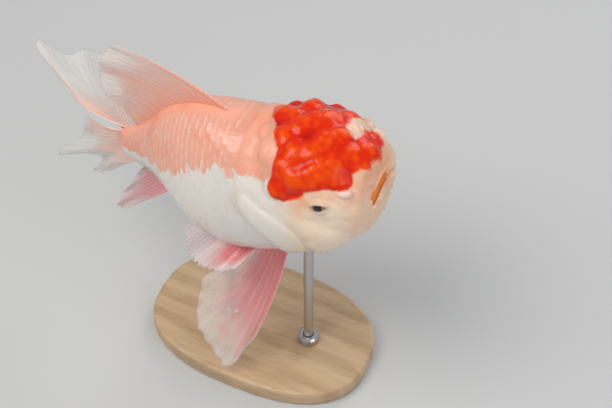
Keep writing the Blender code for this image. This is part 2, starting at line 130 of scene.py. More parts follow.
def ramp(low: float, high: float, value: Array) -> Array:
    """A soft switch: 0 up to low, 1 from high on, a smooth S between; it falls where high is the smaller."""
    t = np.clip((value - low) / (high - low), 0, 1)
    return t * t * (3 - 2 * t)


def bell(distance: Array, width: float) -> Array:
    """A Gaussian hump of height 1, fallen to about a third where the distance equals the width."""
    return np.exp(-((distance / width) ** 2))


def dome(radius_squared: Array, power: Number = 0.5) -> Array:
    """A flat-topped cushion over the unit disc, 0 at the rim and beyond; a power of 0.5 rounds its edge."""
    return np.maximum(0, 1 - radius_squared**2) ** power


def cushion(radius_squared: Array, power: Number = 0.5) -> Array:
    """A dome over the unit disc that goes on falling beyond its rim, so that it melts into its ground."""
    return dome(radius_squared, power) - 1.5 * np.clip(radius_squared - 1, 0, 2)


def soft_max(first: Array, second: Array, blend: float) -> Array:
    """The larger of two heights, with a fillet of the blend's size where they cross."""
    share = np.clip(0.5 + 0.5 * (first - second) / blend, 0, 1)
    return second + (first - second) * share + blend * share * (1 - share)


def signed_power(value: Array, power: Number) -> Array:
    """Raises the size of value to a power and keeps its sign."""
    return np.sign(value) * np.abs(value) ** power


def unit(vectors: Array) -> Array:
    """Vectors made one long."""
    return vectors / np.maximum(np.linalg.norm(vectors, axis=-1, keepdims=True), TINY)


def distance_to_line(points: Array, line: Array) -> Array:
    """How far points lie from a run of short straight pieces.

    Args:
        points: Places, in a last axis of three.
        line: The run's corners, in rows of three.

    Returns:
        The distance of each point.
    """
    nearest = np.full(points.shape[:-1], np.inf)
    for start, end in zip(line[:-1], line[1:]):
        way = end - start
        share = np.clip(((points - start) @ way) / max(way @ way, TINY), 0, 1)
        nearest = np.minimum(nearest, np.linalg.norm(points - start - share[..., None] * way, axis=-1))
    return nearest


@dataclass(frozen=True)
class FishFrame:
    """Where the fish hangs over its base, and how far its nose is pitched up."""

    mouth: Point = (51.0, 0.0, 122.0)
    pitch_degrees: float = 13.0

    @cached_property
    def turn(self) -> Array:
        """The rotation from the fish's frame to the world."""
        angle = math.radians(self.pitch_degrees)
        cosine, sine = math.cos(angle), math.sin(angle)
        return np.array(((cosine, 0, -sine), (0, 1, 0), (sine, 0, cosine)))

    def to_world(self, places: Array) -> Array:
        """Metres in the world for millimetres in the fish's frame, both in rows of three."""
        return (places @ self.turn.T + np.array(self.mouth)) * MM


class Station(NamedTuple):
    """One cross-section of the body, in millimetres."""

    back: float
    top: float
    low: float
    half_width: float
    widest_height: float
    ridge_exponent: float


@dataclass(frozen=True)
class BodyShape:
    """The plain surface of the body, from superelliptic sections through named stations."""

    nose_tip: float = -2.7
    nose_end: float = 5.0
    nose_roundness: float = 2.3
    stem_end: float = 111.0
    stem_tip: float = 113.5
    stem_roundness: float = 2.0
    flank_exponent: float = 2.1
    stations: tuple[Station, ...] = (
        Station(5, 18.5, -16.5, 19.3, 1, 2.2),
        Station(11, 22.5, -21, 22.8, 0, 2.2),
        Station(20, 25, -25.5, 24.8, -1, 2.2),
        Station(32, 25.5, -30, 25.4, -2.5, 2.1),
        Station(44, 26.5, -33.5, 25.2, -4.5, 1.95),
        Station(56, 28.5, -36, 25, -6.5, 1.75),
        Station(66, 29.5, -36.5, 24.2, -7, 1.65),
        Station(76, 28.5, -32.5, 21.5, -6, 1.62),
        Station(86, 24.5, -23, 16, -3, 1.7),
        Station(95, 17, -13.5, 10.5, 0, 1.8),
        Station(103, 11.5, -9.5, 7, 1, 1.9),
        Station(111, 9.5, -8, 4.6, 0.8, 2.0),
    )
    gill_edge: Curve = Curve(
        (0, 46), (40, 48), (60, 48.5), (72, 46.5), (80, 43.5), (92, 38.5), (106, 34.5), (135, 31.5), (180, 30)
    )
    chin_recess: Curve = Curve((-10, 2.4), (-7, 2.2), (-2.5, 1.2), (0.5, 0.25), (3, 0))
    chin_fade: Curve = Curve((0, 1), (4, 0.9), (10, 0.35), (16, 0))
    normal_steps: Pair = (0.08, 0.01)

    @cached_property
    def curves(self) -> dict[str, Curve]:
        """One smooth curve along the body for each measure of a station."""
        names = Station._fields[1:]
        return {name: Curve(*[(spot.back, getattr(spot, name)) for spot in self.stations]) for name in names}

    def end_scale(self, back: Array) -> Array:
        """How far the body has rounded off: 1 along it, falling to 0 at the snout's tip and at the stem's.

        Args:
            back: Distances behind the mouth.

        Returns:
            The share of its full section.
        """
        nose = np.clip((self.nose_end - back) / (self.nose_end - self.nose_tip), 0, 1)
        stem = np.clip((back - self.stem_end) / (self.stem_tip - self.stem_end), 0, 1)
        front = (1 - nose**self.nose_roundness) ** (1 / self.nose_roundness)
        return front * (1 - stem**self.stem_roundness) ** (1 / self.stem_roundness)

    def place(self, back: Array, angle: Array) -> Array:
        """Points of the plain body surface.

        Args:
            back: Distances behind the mouth.
            angle: Angles round the body in radians, positive to the left.

        Returns:
            The points, in a last axis of three.
        """
        scale = self.end_scale(back)
        middle = self.curves["widest_height"](back)
        rise = (self.curves["top"](back) - middle) * scale
        drop = (middle - self.curves["low"](back)) * scale
        half = self.curves["half_width"](back) * scale
        across = half * signed_power(np.sin(angle), 2 / self.flank_exponent)
        upward = np.cos(angle)
        above = middle + rise * np.maximum(upward, 0) ** (2 / self.curves["ridge_exponent"](back))
        height = above - drop * np.maximum(-upward, 0) ** (2 / self.flank_exponent)
        recess = self.chin_recess(height) * self.chin_fade(back)
        return np.stack(np.broadcast_arrays(-back - recess, across, height), axis=-1)

    def normal(self, back: Array, angle: Array) -> Array:
        """The outward direction of the plain surface.

        Args:
            back: Distances behind the mouth.
            angle: Angles round the body in radians.

        Returns:
            Unit vectors, in a last axis of three.
        """
        step, turn = self.normal_steps
        inner = np.clip(back, self.nose_tip + 1.2 * step, self.stem_tip - 1.2 * step)
        along = self.place(inner + step, angle) - self.place(inner - step, angle)
        around = self.place(inner, angle + turn) - self.place(inner, angle - turn)
        return unit(np.cross(around, along))

    def over(self, back: Array, angle: Array, lift: Number) -> Array:
        """Points at a height over the plain surface, along its outward direction."""
        return self.place(back, angle) + self.normal(back, angle) * np.asarray(lift)[..., None]


@dataclass(frozen=True)
class Places:
    """Places on the body: distances behind the mouth, angles in radians, and the points themselves."""

    back: Array
    angle: Array
    points: Array

    @cached_property
    def degrees(self) -> Array:
        """The size of the angle round the body, in degrees."""
        return np.abs(np.degrees(self.angle))


# ---- fleshy growth on the head


@dataclass(frozen=True)
class Lobes:
    """Rounded lobes that crowd together on the skin and meet in narrow creases."""

    spacing: float
    softness: float = 9.0
    back_range: Pair = (-2.6, 46.0)
    reach_share: float = 0.98
    size_range: Pair = (0.92, 1.1)
    crease_level: float = 0.70
    packing: float = 0.87
    grid: tuple[int, int] = (90, 140)
    samples: int = 3600
    fewest: int = 8
    settling: int = 5
    seed: int = 7
    named: tuple[Pair, ...] = ()

    def middles(self, shape: BodyShape) -> Array:
        """Spreads the lobes' middles just unevenly enough to look grown, round those that have a set place.

        Args:
            shape: The body they grow on.

        Returns:
            Their places on the plain surface, in rows of three.
        """
        chance = np.random.default_rng(self.seed)
        rows, columns = self.grid
        backs, angles = np.linspace(*self.back_range, rows), np.linspace(-math.pi, math.pi, columns)
        places = shape.place(*np.meshgrid(backs, angles, indexing="ij"))
        sides = np.gradient(places, axis=(0, 1))
        cells = np.linalg.norm(np.cross(*sides), axis=-1).ravel()
        picks = chance.choice(cells.size, self.samples, p=cells / cells.sum())
        samples = places.reshape(-1, 3)[picks]
        count = max(self.fewest, int(cells.sum() / (self.packing * self.spacing**2)))
        found = samples[:count].copy()
        fixed = len(self.named)
        if fixed:
            back, degrees = np.array(self.named).T
            found[:fixed] = shape.place(back, np.radians(degrees))
        for _ in range(self.settling):
            nearest = ((samples[:, None] - found[None]) ** 2).sum(2).argmin(1)
            for k in range(fixed, count):
                own = samples[nearest == k]
                if len(own):
                    found[k] = own.mean(0)
        return found

    def relief(self, shape: BodyShape, points: Array) -> Array:
        """The lobes' relief at many points.

        Args:
            shape: The body they grow on.
            points: Places on the plain surface.

        Returns:
            0 in the creases between lobes and 1 on top of each.
        """
        middles = self.middles(shape)
        sizes = np.random.default_rng(self.seed + 1).uniform(*self.size_range, len(middles))
        reaches = self.spacing * self.reach_share * sizes
        near = points[..., 0] > -self.back_range[1] - self.spacing
        flat = points[near]
        total = np.full(len(flat), 1e-3)
        for middle, reach in zip(middles, reaches):
            cap = 1 - ((flat - middle) ** 2).sum(1) / reach**2
            total += np.exp(self.softness * np.maximum(cap, -2))
        crest = np.zeros(points.shape[:-1])
        crest[near] = np.log(total) / self.softness
        return np.clip((crest - self.crease_level) / (1 - self.crease_level), 0, 1.1)


@dataclass(frozen=True)
class HeadGrowth:
    """The hood, cheeks, gill covers, nostril flaps, lips and eye rims, as heights over the plain body."""

    crown_back: Pair = (-1.5, 41.5)
    crown_spread: Curve = Curve(
        *((-2, 50), (5, 50), (10, 51), (14.5, 54), (20, 62), (26.5, 74), (32, 90), (36, 108), (38.5, 84)),
        (41.5, 70),
    )
    crown_rise: Curve = Curve((-1, 0.45), (-0.3, 0.5), (0.15, 0.66), (0.5, 0.94), (1, 1))
    crown_crowding: float = 1.6
    crown_thick: float = 5.6
    crown_relief: float = 0.5
    crown_scallop: float = 0.16
    crown_lobes: Lobes = Lobes(
        9.6,
        seed=14,
        named=(
            *((10.3, -27.5), (2.5, 7.5), (22.4, -46.5), (6.2, -10.5), (15.2, -8.5), (26, -2), (17.5, 17)),
            *((9.3, 24), (36.5, 9), (28, 24), (24.5, -25), (29.5, -57), (28, -37), (16, -44)),
        ),
    )
    crown_dip: tuple[float, ...] = (8.5, 27.0, 7.0, 24.0, 0.42)
    nodules: Lobes = Lobes(3.1, seed=12, samples=6000)
    nodule_height: float = 0.24
    hood_front: Curve = Curve(
        *((-68, 34), (-65.5, 27), (-64, 22.5), (-61, 19), (-56, 17.5), (-52.5, 13.6), (-50.5, 8.9)),
        *((-48.5, 5.7), (-44, 3.2), (-38, 2.5), (-31, 3.2), (-24, 2.5), (-17.5, 0.9), (-8, 0.5), (0, -0.3)),
        *((10, -1), (28, -0.6), (40, 0.6), (46, 4), (50, 9), (54, 14), (60, 18), (65, 26), (68, 34)),
    )
    hood_rear: Curve = Curve(
        *((-68, 26), (-61.5, 29.3), (-50, 32.5), (-35.5, 30.6), (-20.5, 32.1), (-5.5, 37.4), (4.5, 40.5)),
        *((25, 42), (45, 40), (60, 34), (68, 26)),
    )
    hood_limit: float = 67.0
    hood_step: float = 0.5
    hood_depth: float = 25.0
    hood_wander: float = 1.5
    pale_patch: tuple[float, float, float, float] = (9.8, 26.0, 3.0, 18.0)
    cheek_angles: Pair = (78, 138)
    cheek_front: Curve = Curve((78, 14), (83, 12), (95, 7), (110, 5), (125, 7.5), (140, 14))
    cheek_thick: float = 2.6
    cheek_lobes: Lobes = Lobes(6.2, softness=5.0, seed=23)
    cover_angles: Pair = (62, 142)
    cover_width: Curve = Curve((60, 8), (85, 13), (105, 12), (125, 8), (142, 5))
    cover_thick: float = 1.5
    cover_overlap: float = 1.2
    flap_back: float = 4.9
    flap_angle: float = 52.5
    flap_half: Pair = (3.0, 6.0)
    flap_thick: float = 2.0
    flap_lobes: Lobes = Lobes(2.0, back_range=(0, 11), seed=5)
    eye_back: float = 13.2
    eye_angle: float = 68.0
    eye_opening: Pair = (2.1, 1.15)
    eye_depth: float = 2.9
    eye_apex: float = 1.42
    eye_radius: float = 4.2
    lid_gap: float = 0.1
    lid_puff: float = 0.4
    brow_puff: float = 1.1
    lip_half_width: float = 10.6
    lip_upper: Pair = (7.6, 3.9)
    lip_lower: Pair = (3.8, 2.2)
    lip_radius: float = 1.9
    lip_height: float = 0.85
    lip_colour_end: Pair = (3.5, 0.5)
    slit_half: float = 0.42
    slit_depth: float = 1.5
    chin_lobes: Lobes = Lobes(3.4, softness=5.0, back_range=(-2.6, 6), seed=31)
    chin_relief: float = 0.95
    degree_length: float = 0.41

    def crown_disc(self, at: Places) -> tuple[Array, Array]:
        """The crown's own coordinates.

        Args:
            at: The places.

        Returns:
            The place along it, -1 at its front and 1 at its rear, and the squared radius, 1 on its edge.
        """
        front, rear = self.crown_back
        share = np.clip((at.back - front) / (rear - front), -0.2, 1.2)
        along = 2 * signed_power(share, 1 / self.crown_crowding) - 1
        across = np.degrees(at.angle) / self.crown_spread(at.back)
        return along, along**2 + across**2

    def inside_hood(self, at: Places) -> Array:
        """How far inside the red hood's border.

        Args:
            at: The places.

        Returns:
            The distance in millimetres, below 0 outside the hood.
        """
        back, degrees = at.back, np.degrees(at.angle)
        inside = (back > self.hood_front(degrees)) & (back < self.hood_rear(degrees))
        around = np.arange(-self.hood_limit, self.hood_limit, self.hood_step)
        found = np.full(np.shape(back), self.hood_depth)
        for edge in (self.hood_front, self.hood_rear):
            for place, turn in zip(edge(around), around):
                found = np.minimum(found, np.hypot(back - place, (degrees - turn) * self.degree_length))
        found = np.where(inside, found, -found)
        middle, middle_angle, half, half_angle = self.pale_patch
        patch = np.hypot((back - middle) / half, (degrees - middle_angle) / half_angle)
        return np.minimum(found, (patch - 1) * half)

    def patch(self, at: Places, angles: Pair, front: Array, rear: Array) -> Array:
        """A disc laid on one side of the head.

        Args:
            at: The places.
            angles: Its lowest and highest angle in degrees.
            front: Its front edge.
            rear: Its rear edge.

        Returns:
            The squared radius, 1 on its edge.
        """
        low, high = angles
        around = (at.degrees - (low + high) / 2) / ((high - low) / 2)
        along = (at.back - (front + rear) / 2) / np.maximum((rear - front) / 2, 0.5)
        return along**2 + around**2

    def cover_front(self, shape: BodyShape, degrees: Array) -> Array:
        """Where the gill cover starts, by angle."""
        return shape.gill_edge(degrees) - self.cover_width(degrees)

    def cover_share(self, degrees: Array) -> Array:
        """How far the gill cover stands free at its rear edge, by angle."""
        low, high = self.cover_angles
        return ramp(low - 6, low + 8, degrees) * ramp(high + 6, high - 10, degrees)

    def flap_radius(self, at: Places) -> Array:
        """How far from the nostril flap's middle, 1 on its edge."""
        offset = np.stack((at.back - self.flap_back, at.degrees - self.flap_angle), axis=-1)
        return np.linalg.norm(offset / self.flap_half, axis=-1)

    def round_eye(self, back: Array, degrees: Array) -> tuple[Array, Array, Array]:
        """Coordinates round the eye.

        Args:
            back: Distances behind the mouth.
            degrees: The size of the angle round the body.

        Returns:
            The elliptic radius, 1 on the lids' edge, the distance from the eye's axis and that down from it.
        """
        along = back - self.eye_back
        down = (degrees - self.eye_angle) * self.degree_length
        half_along, half_down = self.eye_opening
        return np.sqrt((along / half_along) ** 2 + (down / half_down) ** 2), np.hypot(along, down), down

    def mouth_lines(self, across: Array) -> tuple[Array, Array, Array, Array]:
        """The mouth's lines, by the distance from the mid-plane.

        Args:
            across: The distances.

        Returns:
            The share of the way to the corner, and the heights of the upper lip, the lower lip and the slit.
        """
        share = np.clip(across / self.lip_half_width, -1.3, 1.3)
        upper, lower = (middle - fall * share**2 for middle, fall in (self.lip_upper, self.lip_lower))
        return share, upper, lower, (upper + lower) / 2


@dataclass
class Skin:
    """The one skin of head, trunk and tail stem, with its growths, markings, masks for painted shade and
    highlight, and map.
    """

    frame: FishFrame
    shape: BodyShape
    growth: HeadGrowth
    columns: int = 360
    mouth_rows: int = 46
    cap_rows: int = 20
    head_rows: int = 86
    trunk_rows: int = 58
    stem_rows: int = 7
    cap_shares: Point = (0.012, 0.62, 0.995)
    cover_fold: tuple[Pair, ...] = ((1.45, 1.275), (1.55, 0.825), (1.3, 0.2), (0.9, 0.0), (0.5, -0.2))
    snout_blend: float = 3.2
    snout_blend_steps: int = 70
    coat_depth: float = 0.38
    eye_gather: float = 4.0
    white_edge: Curve = Curve(
        *((22, 0), (29, 40), (34, 49), (41, 48), (45.5, 48.5), (50.4, 42.5), (54, 45.5), (62, 51)),
        *((66, 50.5), (72, 57.5), (83, 66), (95, 82), (113, 84)),
    )
    root_swells: list[tuple[Array, float, float]] = field(default_factory=list)

    def build(self) -> Object:
        """Makes the skin's mesh with its map, its markings and its masks for painted shade and highlight.

        Returns:
            The skin, with no material yet.
        """
        angles = np.linspace(-math.pi, math.pi, self.columns, endpoint=False)
        back, lift = self.rows(np.abs(np.degrees(angles)))
        back, angle = self.gather_at_eyes(back, np.broadcast_to(angles, back.shape))
        at = Places(back, angle, self.soften(self.shape.place(back, angle), back))
        outward = unit(self.soften(self.shape.normal(back, angle), back))
        marks = self.raise_head(at, lift)
        points = at.points + outward * marks.pop("lift")[..., None]
        mesh = self.mesh_of(points)
        for name, values in marks.items():
            store(mesh, name, np.concatenate(([values[0].mean()], values.ravel(), [values[-1].mean()])))
        self.unwrap(mesh, points)
        return new_object("fish_skin", mesh)

    def soften(self, values: Array, back: Array) -> Array:
        """Evens out values from row to row where the snout's cap meets the body.

        Args:
            values: Points or directions, in a last axis of three.
            back: The grid's distances behind the mouth.

        Returns:
            The evened values.
        """
        share = bell(back - self.shape.nose_end, self.snout_blend)[1:-1, :, None]
        for _ in range(self.snout_blend_steps):
            mean = (values[:-2] + 2 * values[1:-1] + values[2:]) / 4
            values = np.concatenate((values[:1], values[1:-1] + share * (mean - values[1:-1]), values[-1:]))
        return values

    def rows(self, degrees: Array) -> tuple[Array, Array]:
        """Lays the rows of the skin's grid, with the fold under the gill covers' rear edge.

        Args:
            degrees: The size of the columns' angles.

        Returns:
            The grid's distances behind the mouth, and the fold's height where it has one.
        """
        shape, growth = self.shape, self.growth
        free, edge = growth.cover_share(degrees), shape.gill_edge(degrees)
        first, wide, last = self.cap_shares
        spreads = (np.linspace(first, wide, self.mouth_rows), np.linspace(wide, last, self.cap_rows)[1:])
        shares = np.concatenate(spreads)
        power = shape.nose_roundness
        cap = shape.nose_end - (1 - shares**power) ** (1 / power) * (shape.nose_end - shape.nose_tip)
        rear = edge + growth.cover_overlap * free
        head = cap[-1] + (rear - cap[-1]) * np.linspace(0, 1, self.head_rows)[1:, None]
        order = np.arange(len(self.cover_fold))[:, None]
        reach, height = np.array(self.cover_fold).T[..., None]
        fold = edge + (0.05 + 0.06 * order) * (1 - free) + reach * free
        start, end = fold[-1] + 0.12, shape.stem_end - 0.3
        trunk = start + (end - start) * np.linspace(0, 1, self.trunk_rows)[:, None]
        swing = np.sin(np.linspace(0, 1, self.stem_rows + 1)[1:, None] * math.pi / 2)
        stem = end + (shape.stem_tip - 0.02 - end) * swing + 0 * degrees
        back = np.concatenate((cap[:, None] + 0 * degrees, head, fold, trunk, stem))
        lift = np.full_like(back, np.nan)
        sunk = -self.coat_depth * (order + 1) / len(order)
        above = len(cap) + len(head)
        lift[above : above + len(fold)] = sunk * (1 - free) + height * free
        return back, lift

    def gather_at_eyes(self, back: Array, angle: Array) -> tuple[Array, Array]:
        """Draws the grid together along the lids' edges, so that they come out crisp.

        Args:
            back: The grid's distances behind the mouth.
            angle: The grid's angles in radians.

        Returns:
            The moved distances and angles.
        """
        growth = self.growth
        degrees = np.abs(np.degrees(angle))
        radius = growth.round_eye(back, degrees)[0]
        near = radius < self.eye_gather
        pull = np.where(near, 0.5 * np.sin(np.pi * (radius - 1) / 3) * bell(radius - 1, 1.3), 0)
        factor = np.clip((radius - pull) / np.maximum(radius, 0.05), 0.5, 2.4)
        moved_back = growth.eye_back + (back - growth.eye_back) * factor
        moved = np.radians(growth.eye_angle + (degrees - growth.eye_angle) * factor)
        return np.where(near, moved_back, back), np.where(near, moved * np.sign(angle), angle)

    def raise_head(self, at: Places, fold_lift: Array) -> dict[str, Array]:
        """Heights, markings and masks for painted shade and highlight over the whole grid.

        Args:
            at: The grid's places on the plain body.
            fold_lift: The fold's height, and not a number elsewhere.

        Returns:
            The lift, the markings' fields and the painted shade and highlight masks, by name.
        """
        growth, shape, back, degrees = self.growth, self.shape, at.back, at.degrees
        edge = shape.gill_edge(degrees)
        on_head = ramp(0.6, -0.6, back - edge - growth.cover_overlap * growth.cover_share(degrees))
        lobes = (growth.crown_lobes, growth.nodules, growth.cheek_lobes)
        big, small, soft = (kind.relief(shape, at.points) for kind in lobes)

        along, crown_disc = growth.crown_disc(at)
        scalloped = np.maximum(crown_disc - growth.crown_scallop * (big - 0.5), 0)
        rim = cushion(scalloped, 0.5 + 0.7 * ramp(0.2, -0.9, along))
        inside = np.maximum(rim, 0)
        dip_back, dip_angle, half, half_angle, dip = growth.crown_dip
        dipped = 1 - dip * bell(back - dip_back, half) * bell(np.degrees(at.angle) - dip_angle, half_angle)
        rise = growth.crown_thick * inside * growth.crown_rise(along) * dipped
        crown = rise * (1 - growth.crown_relief * (1 - big)) + growth.nodule_height * small * inside
        crown = crown + 2 * np.minimum(rim, 0)

        cover_front, cover_rear = growth.cover_front(shape, degrees), edge + growth.cover_overlap + 1.5
        cheek_disc = growth.patch(at, growth.cheek_angles, growth.cheek_front(degrees), cover_front + 1.0)
        cheek = growth.cheek_thick * cushion(cheek_disc, 1.1) * (0.82 + 0.18 * soft)
        cover_disc = growth.patch(at, growth.cover_angles, cover_front, cover_rear)
        cover = growth.cover_thick * cushion(cover_disc, 0.35)

        front = ramp(-2.5, 3.5, back)
        lift = (0.05 + (0.4 * soft + 0.12 * small) * front) * on_head - self.coat_depth * (1 - on_head)
        for part, fillet in ((cheek - 0.15, 1.3), (cover - 0.1, 0.7), (self.flap(at), 0.5), (crown, 0.9)):
            lift = soft_max(lift, part, fillet)
        lift, lips = self.add_mouth(lift, at)
        lift = self.open_eyes(lift, at, small)
        for line, height, width in self.root_swells:
            lift = lift + height * bell(distance_to_line(at.points, line), width)

        # Masks for painted shade: darker colour in the creases between lobes, on the crown and on the cheeks.
        valley_shade = 1 - ramp(0.0, 0.5, big)
        on_crown = ramp(1.05, 0.8, crown_disc)
        crease = valley_shade * on_crown + 0.4 * (1 - ramp(0, 0.4, soft)) * on_head * (1 - on_crown)
        return {
            "lift": np.where(np.isnan(fold_lift), lift, fold_lift),
            "hood": growth.inside_hood(at) + growth.hood_wander * (big - 0.5),
            "white": (degrees - self.white_edge(back)) * growth.degree_length,
            "head": on_head,
            "lips": lips,
            "crease": np.clip(crease, 0, 1),
            "flap": bell(growth.flap_radius(at), 1.1),
            # A mask for painted shade round each eye opening.
            "lid": bell((growth.round_eye(back, degrees)[0] - 1) * 1.6, 0.6),
            "back": back,
            # A mask for painted highlight on the tops of the lobes.
            "lobe": np.clip(0.7 * big * on_crown + 0.6 * soft * (1 - on_crown) + 0.3 * small, 0, 1),
        }

    def flap(self, at: Places) -> Array:
        """The height of the knobbly flap at each nostril, below the skin where there is none.

        Args:
            at: The grid's places.

        Returns:
            The height.
        """
        radius = self.growth.flap_radius(at)
        knobs = self.growth.flap_lobes.relief(self.shape, at.points)
        height = self.growth.flap_thick * dome(np.minimum(radius, 1.5) ** 2) * (0.62 + 0.5 * knobs)
        return np.where(radius < 1, height, -1)

    def open_eyes(self, lift: Array, at: Places, small: Array) -> Array:
        """Folds the lids over the eyeball and sinks the skin inside them.

        Args:
            lift: The heights so far.
            at: The grid's places.
            small: The nodules' relief.

        Returns:
            The heights with both openings.
        """
        growth = self.growth
        radius, distance, down = growth.round_eye(at.back, at.degrees)
        ball = np.sqrt(np.maximum(growth.eye_radius**2 - distance**2, 0))
        ball = ball - growth.eye_radius + growth.eye_apex
        above = ramp(0.7, -0.9, down)
        out = (radius - 1) * np.hypot(*growth.eye_opening) / math.sqrt(2)
        puff = bell(out - 1.25, 1.1) * (growth.lid_puff + growth.brow_puff * above + 0.25 * small)
        fold = np.where(distance < growth.eye_radius, ball + growth.lid_gap + puff, -3)
        lift = soft_max(lift, fold * ramp(3.3, 1.6, out) - 3 * ramp(2.4, 3.6, out), 0.5)
        lift = np.where(out < 0.6, np.minimum(lift, np.maximum(fold, ball + growth.lid_gap)), lift)
        return lift + (-growth.eye_depth - lift) * ramp(0.06, -0.28, out)

    def add_mouth(self, lift: Array, at: Places) -> tuple[Array, Array]:
        """Adds both lips, the slit between them and the knobbly chin.

        Args:
            lift: The heights so far.
            at: The grid's places.

        Returns:
            The heights with the mouth, and how much of the lips' colour shows.
        """
        growth = self.growth
        across, height = at.points[..., 1], at.points[..., 2]
        share, upper, lower, slit = growth.mouth_lines(across)
        front = ramp(5, 3, at.back) * ramp(1.1, 0.85, np.abs(share))
        narrowing = np.clip(share, -1, 1) ** 2
        radius = growth.lip_radius * (1 - 0.5 * narrowing)
        ridge = np.zeros_like(lift)
        for line, size in ((upper, 1.0), (lower, 0.85)):
            part = np.maximum(0, 1 - ((height - line) / radius) ** 2)
            ridge = np.maximum(ridge, size * growth.lip_height * np.sqrt(part))
        below = ramp(0.8, -1.0, height - lower) * ramp(-14, -9, height) * ramp(5, 2, at.back)
        knobs = growth.chin_relief * growth.chin_lobes.relief(self.shape, at.points)
        chin = below * ramp(13, 9, np.abs(across)) * knobs
        opening = bell(height - slit, growth.slit_half * (1.15 - 0.55 * narrowing))
        coloured = ramp(*growth.lip_colour_end, across)
        mouth = lift + ridge * front + chin - growth.slit_depth * opening * front * (0.4 + 0.6 * coloured)
        band = ramp(-0.9, -0.4, height - slit) * ramp(3.4, 2.6, height - slit)
        return mouth, band * front * coloured

    def mesh_of(self, points: Array) -> Mesh:
        """Joins the grid into a closed mesh with a point at each tip.

        Args:
            points: The grid, in the fish's frame.

        Returns:
            The mesh, in the world.
        """
        rows, columns = points.shape[:2]
        flat = np.concatenate((points[:1].mean(1), points.reshape(-1, 3), points[-1:].mean(1)))
        column = np.arange(columns)
        beside = (column + 1) % columns
        here = 1 + np.arange(rows - 1)[:, None] * columns
        corners = (here + column, here + beside, here + columns + beside, here + columns + column)
        last = 1 + (rows - 1) * columns
        faces = (
            np.stack(corners, axis=-1).reshape(-1, 4),
            np.stack((np.zeros_like(column), 1 + beside, 1 + column), axis=-1),
            np.stack((last + column, last + beside, np.full_like(column, len(flat) - 1)), axis=-1),
        )
        joined = [face for part in faces for face in part.tolist()]
        mesh = mesh_from("fish_skin", self.frame.to_world(flat), faces=joined)
        mesh.shade_smooth()
        return mesh

    def unwrap(self, mesh: Mesh, points: Array) -> None:
        """Unrolls the skin into a map: round the body across it, and the way along the body up it.

        Args:
            mesh: The skin's mesh.
            points: Its grid.
        """
        rows, columns = points.shape[:2]
        steps = np.linalg.norm(np.diff(points, axis=0), axis=-1).mean(1)
        along = np.concatenate(([0], np.cumsum(steps)))
        along = 0.01 + 0.98 * along / along[-1]
        corners = numbers_of(mesh.loops, "vertex_index")
        starts, totals = (numbers_of(mesh.polygons, name) for name in ("loop_start", "loop_total"))
        grid = np.clip(corners - 1, 0, rows * columns - 1)
        row, column = grid // columns, (grid % columns).astype(float)
        widest = np.repeat(np.maximum.reduceat(column, starts), totals)
        column = np.where((widest == columns - 1) & (column == 0), columns, column)
        up = np.where(corners == 0, 0, np.where(corners == rows * columns + 1, 1, along[row]))
        layer = mesh.uv_layers.new(name=BAKE_MAP)
        layer.uv.foreach_set("vector", np.stack((column / columns, up), axis=-1).ravel())


# ---- meshes and node trees


def numbers_of(items: Any, name: str) -> Array:
    """Reads a whole number from each of a mesh's parts.

    Args:
        items: The parts, such as its loops.
        name: The number's name.

    Returns:
        The numbers.
    """
    found = np.empty(len(items), int)
    items.foreach_get(name, found)
    return found


def store(mesh: Mesh, name: str, values: Array) -> None:
    """Keeps one number, or one vector, for each point of a mesh.

    Args:
        mesh: The mesh.
        name: The attribute's name.
        values: The numbers, or the vectors in rows of three, in the points' order.
    """
    values = np.ascontiguousarray(values, dtype=np.float32)
    kind, entry = ("FLOAT", "value") if values.ndim == 1 else ("FLOAT_VECTOR", "vector")
    mesh.attributes.new(name, kind, "POINT").data.foreach_set(entry, values.ravel())


def mesh_from(name: str, points: Array, edges: Sequence[Any] = (), faces: Sequence[Any] = ()) -> Mesh:
    """Makes a mesh.

    Args:
        name: Its name.
        points: Its points, in the world.
        edges: The points of each edge.
        faces: The points of each face.

    Returns:
        The mesh.
    """
    mesh = bpy.data.meshes.new(name)
    mesh.from_pydata(points.tolist(), edges, faces)
    return mesh


def new_object(name: str, mesh: Mesh) -> Object:
    """Puts a mesh in the scene.

    Args:
        name: The object's name.
        mesh: The mesh, or a lamp's or camera's data.

    Returns:
        The object, at the origin.
    """
    made = bpy.data.objects.new(name, mesh)
    bpy.context.scene.collection.objects.link(made)
    return made


def finished(shape: Any, name: str, material: Material | None = None, smooth: bool = True) -> Object:
    """Turns an edited shape into an object.

    Args:
        shape: The shape, which is freed.
        name: The object's name.
        material: Its finish, where it has one already.
        smooth: Whether its faces are shaded smooth.

    Returns:
        The object.
    """
    mesh = bpy.data.meshes.new(name)
    shape.to_mesh(mesh)
    shape.free()
    if smooth:
        mesh.shade_smooth()
    if material:
        mesh.materials.append(material)
    return new_object(name, mesh)


def rim_of(rows: int, columns: int) -> list[int]:
    """Walks round the edge of a grid.

    Args:
        rows: How many cells it has one way.
        columns: How many it has the other way.

    Returns:
        The points met, counted along the rows.
    """
    width = columns + 1
    ahead = [*range(columns), *(i * width + columns for i in range(rows))]
    return ahead + [rows * width + j for j in range(columns, 0, -1)] + [i * width for i in range(rows, 0, -1)]


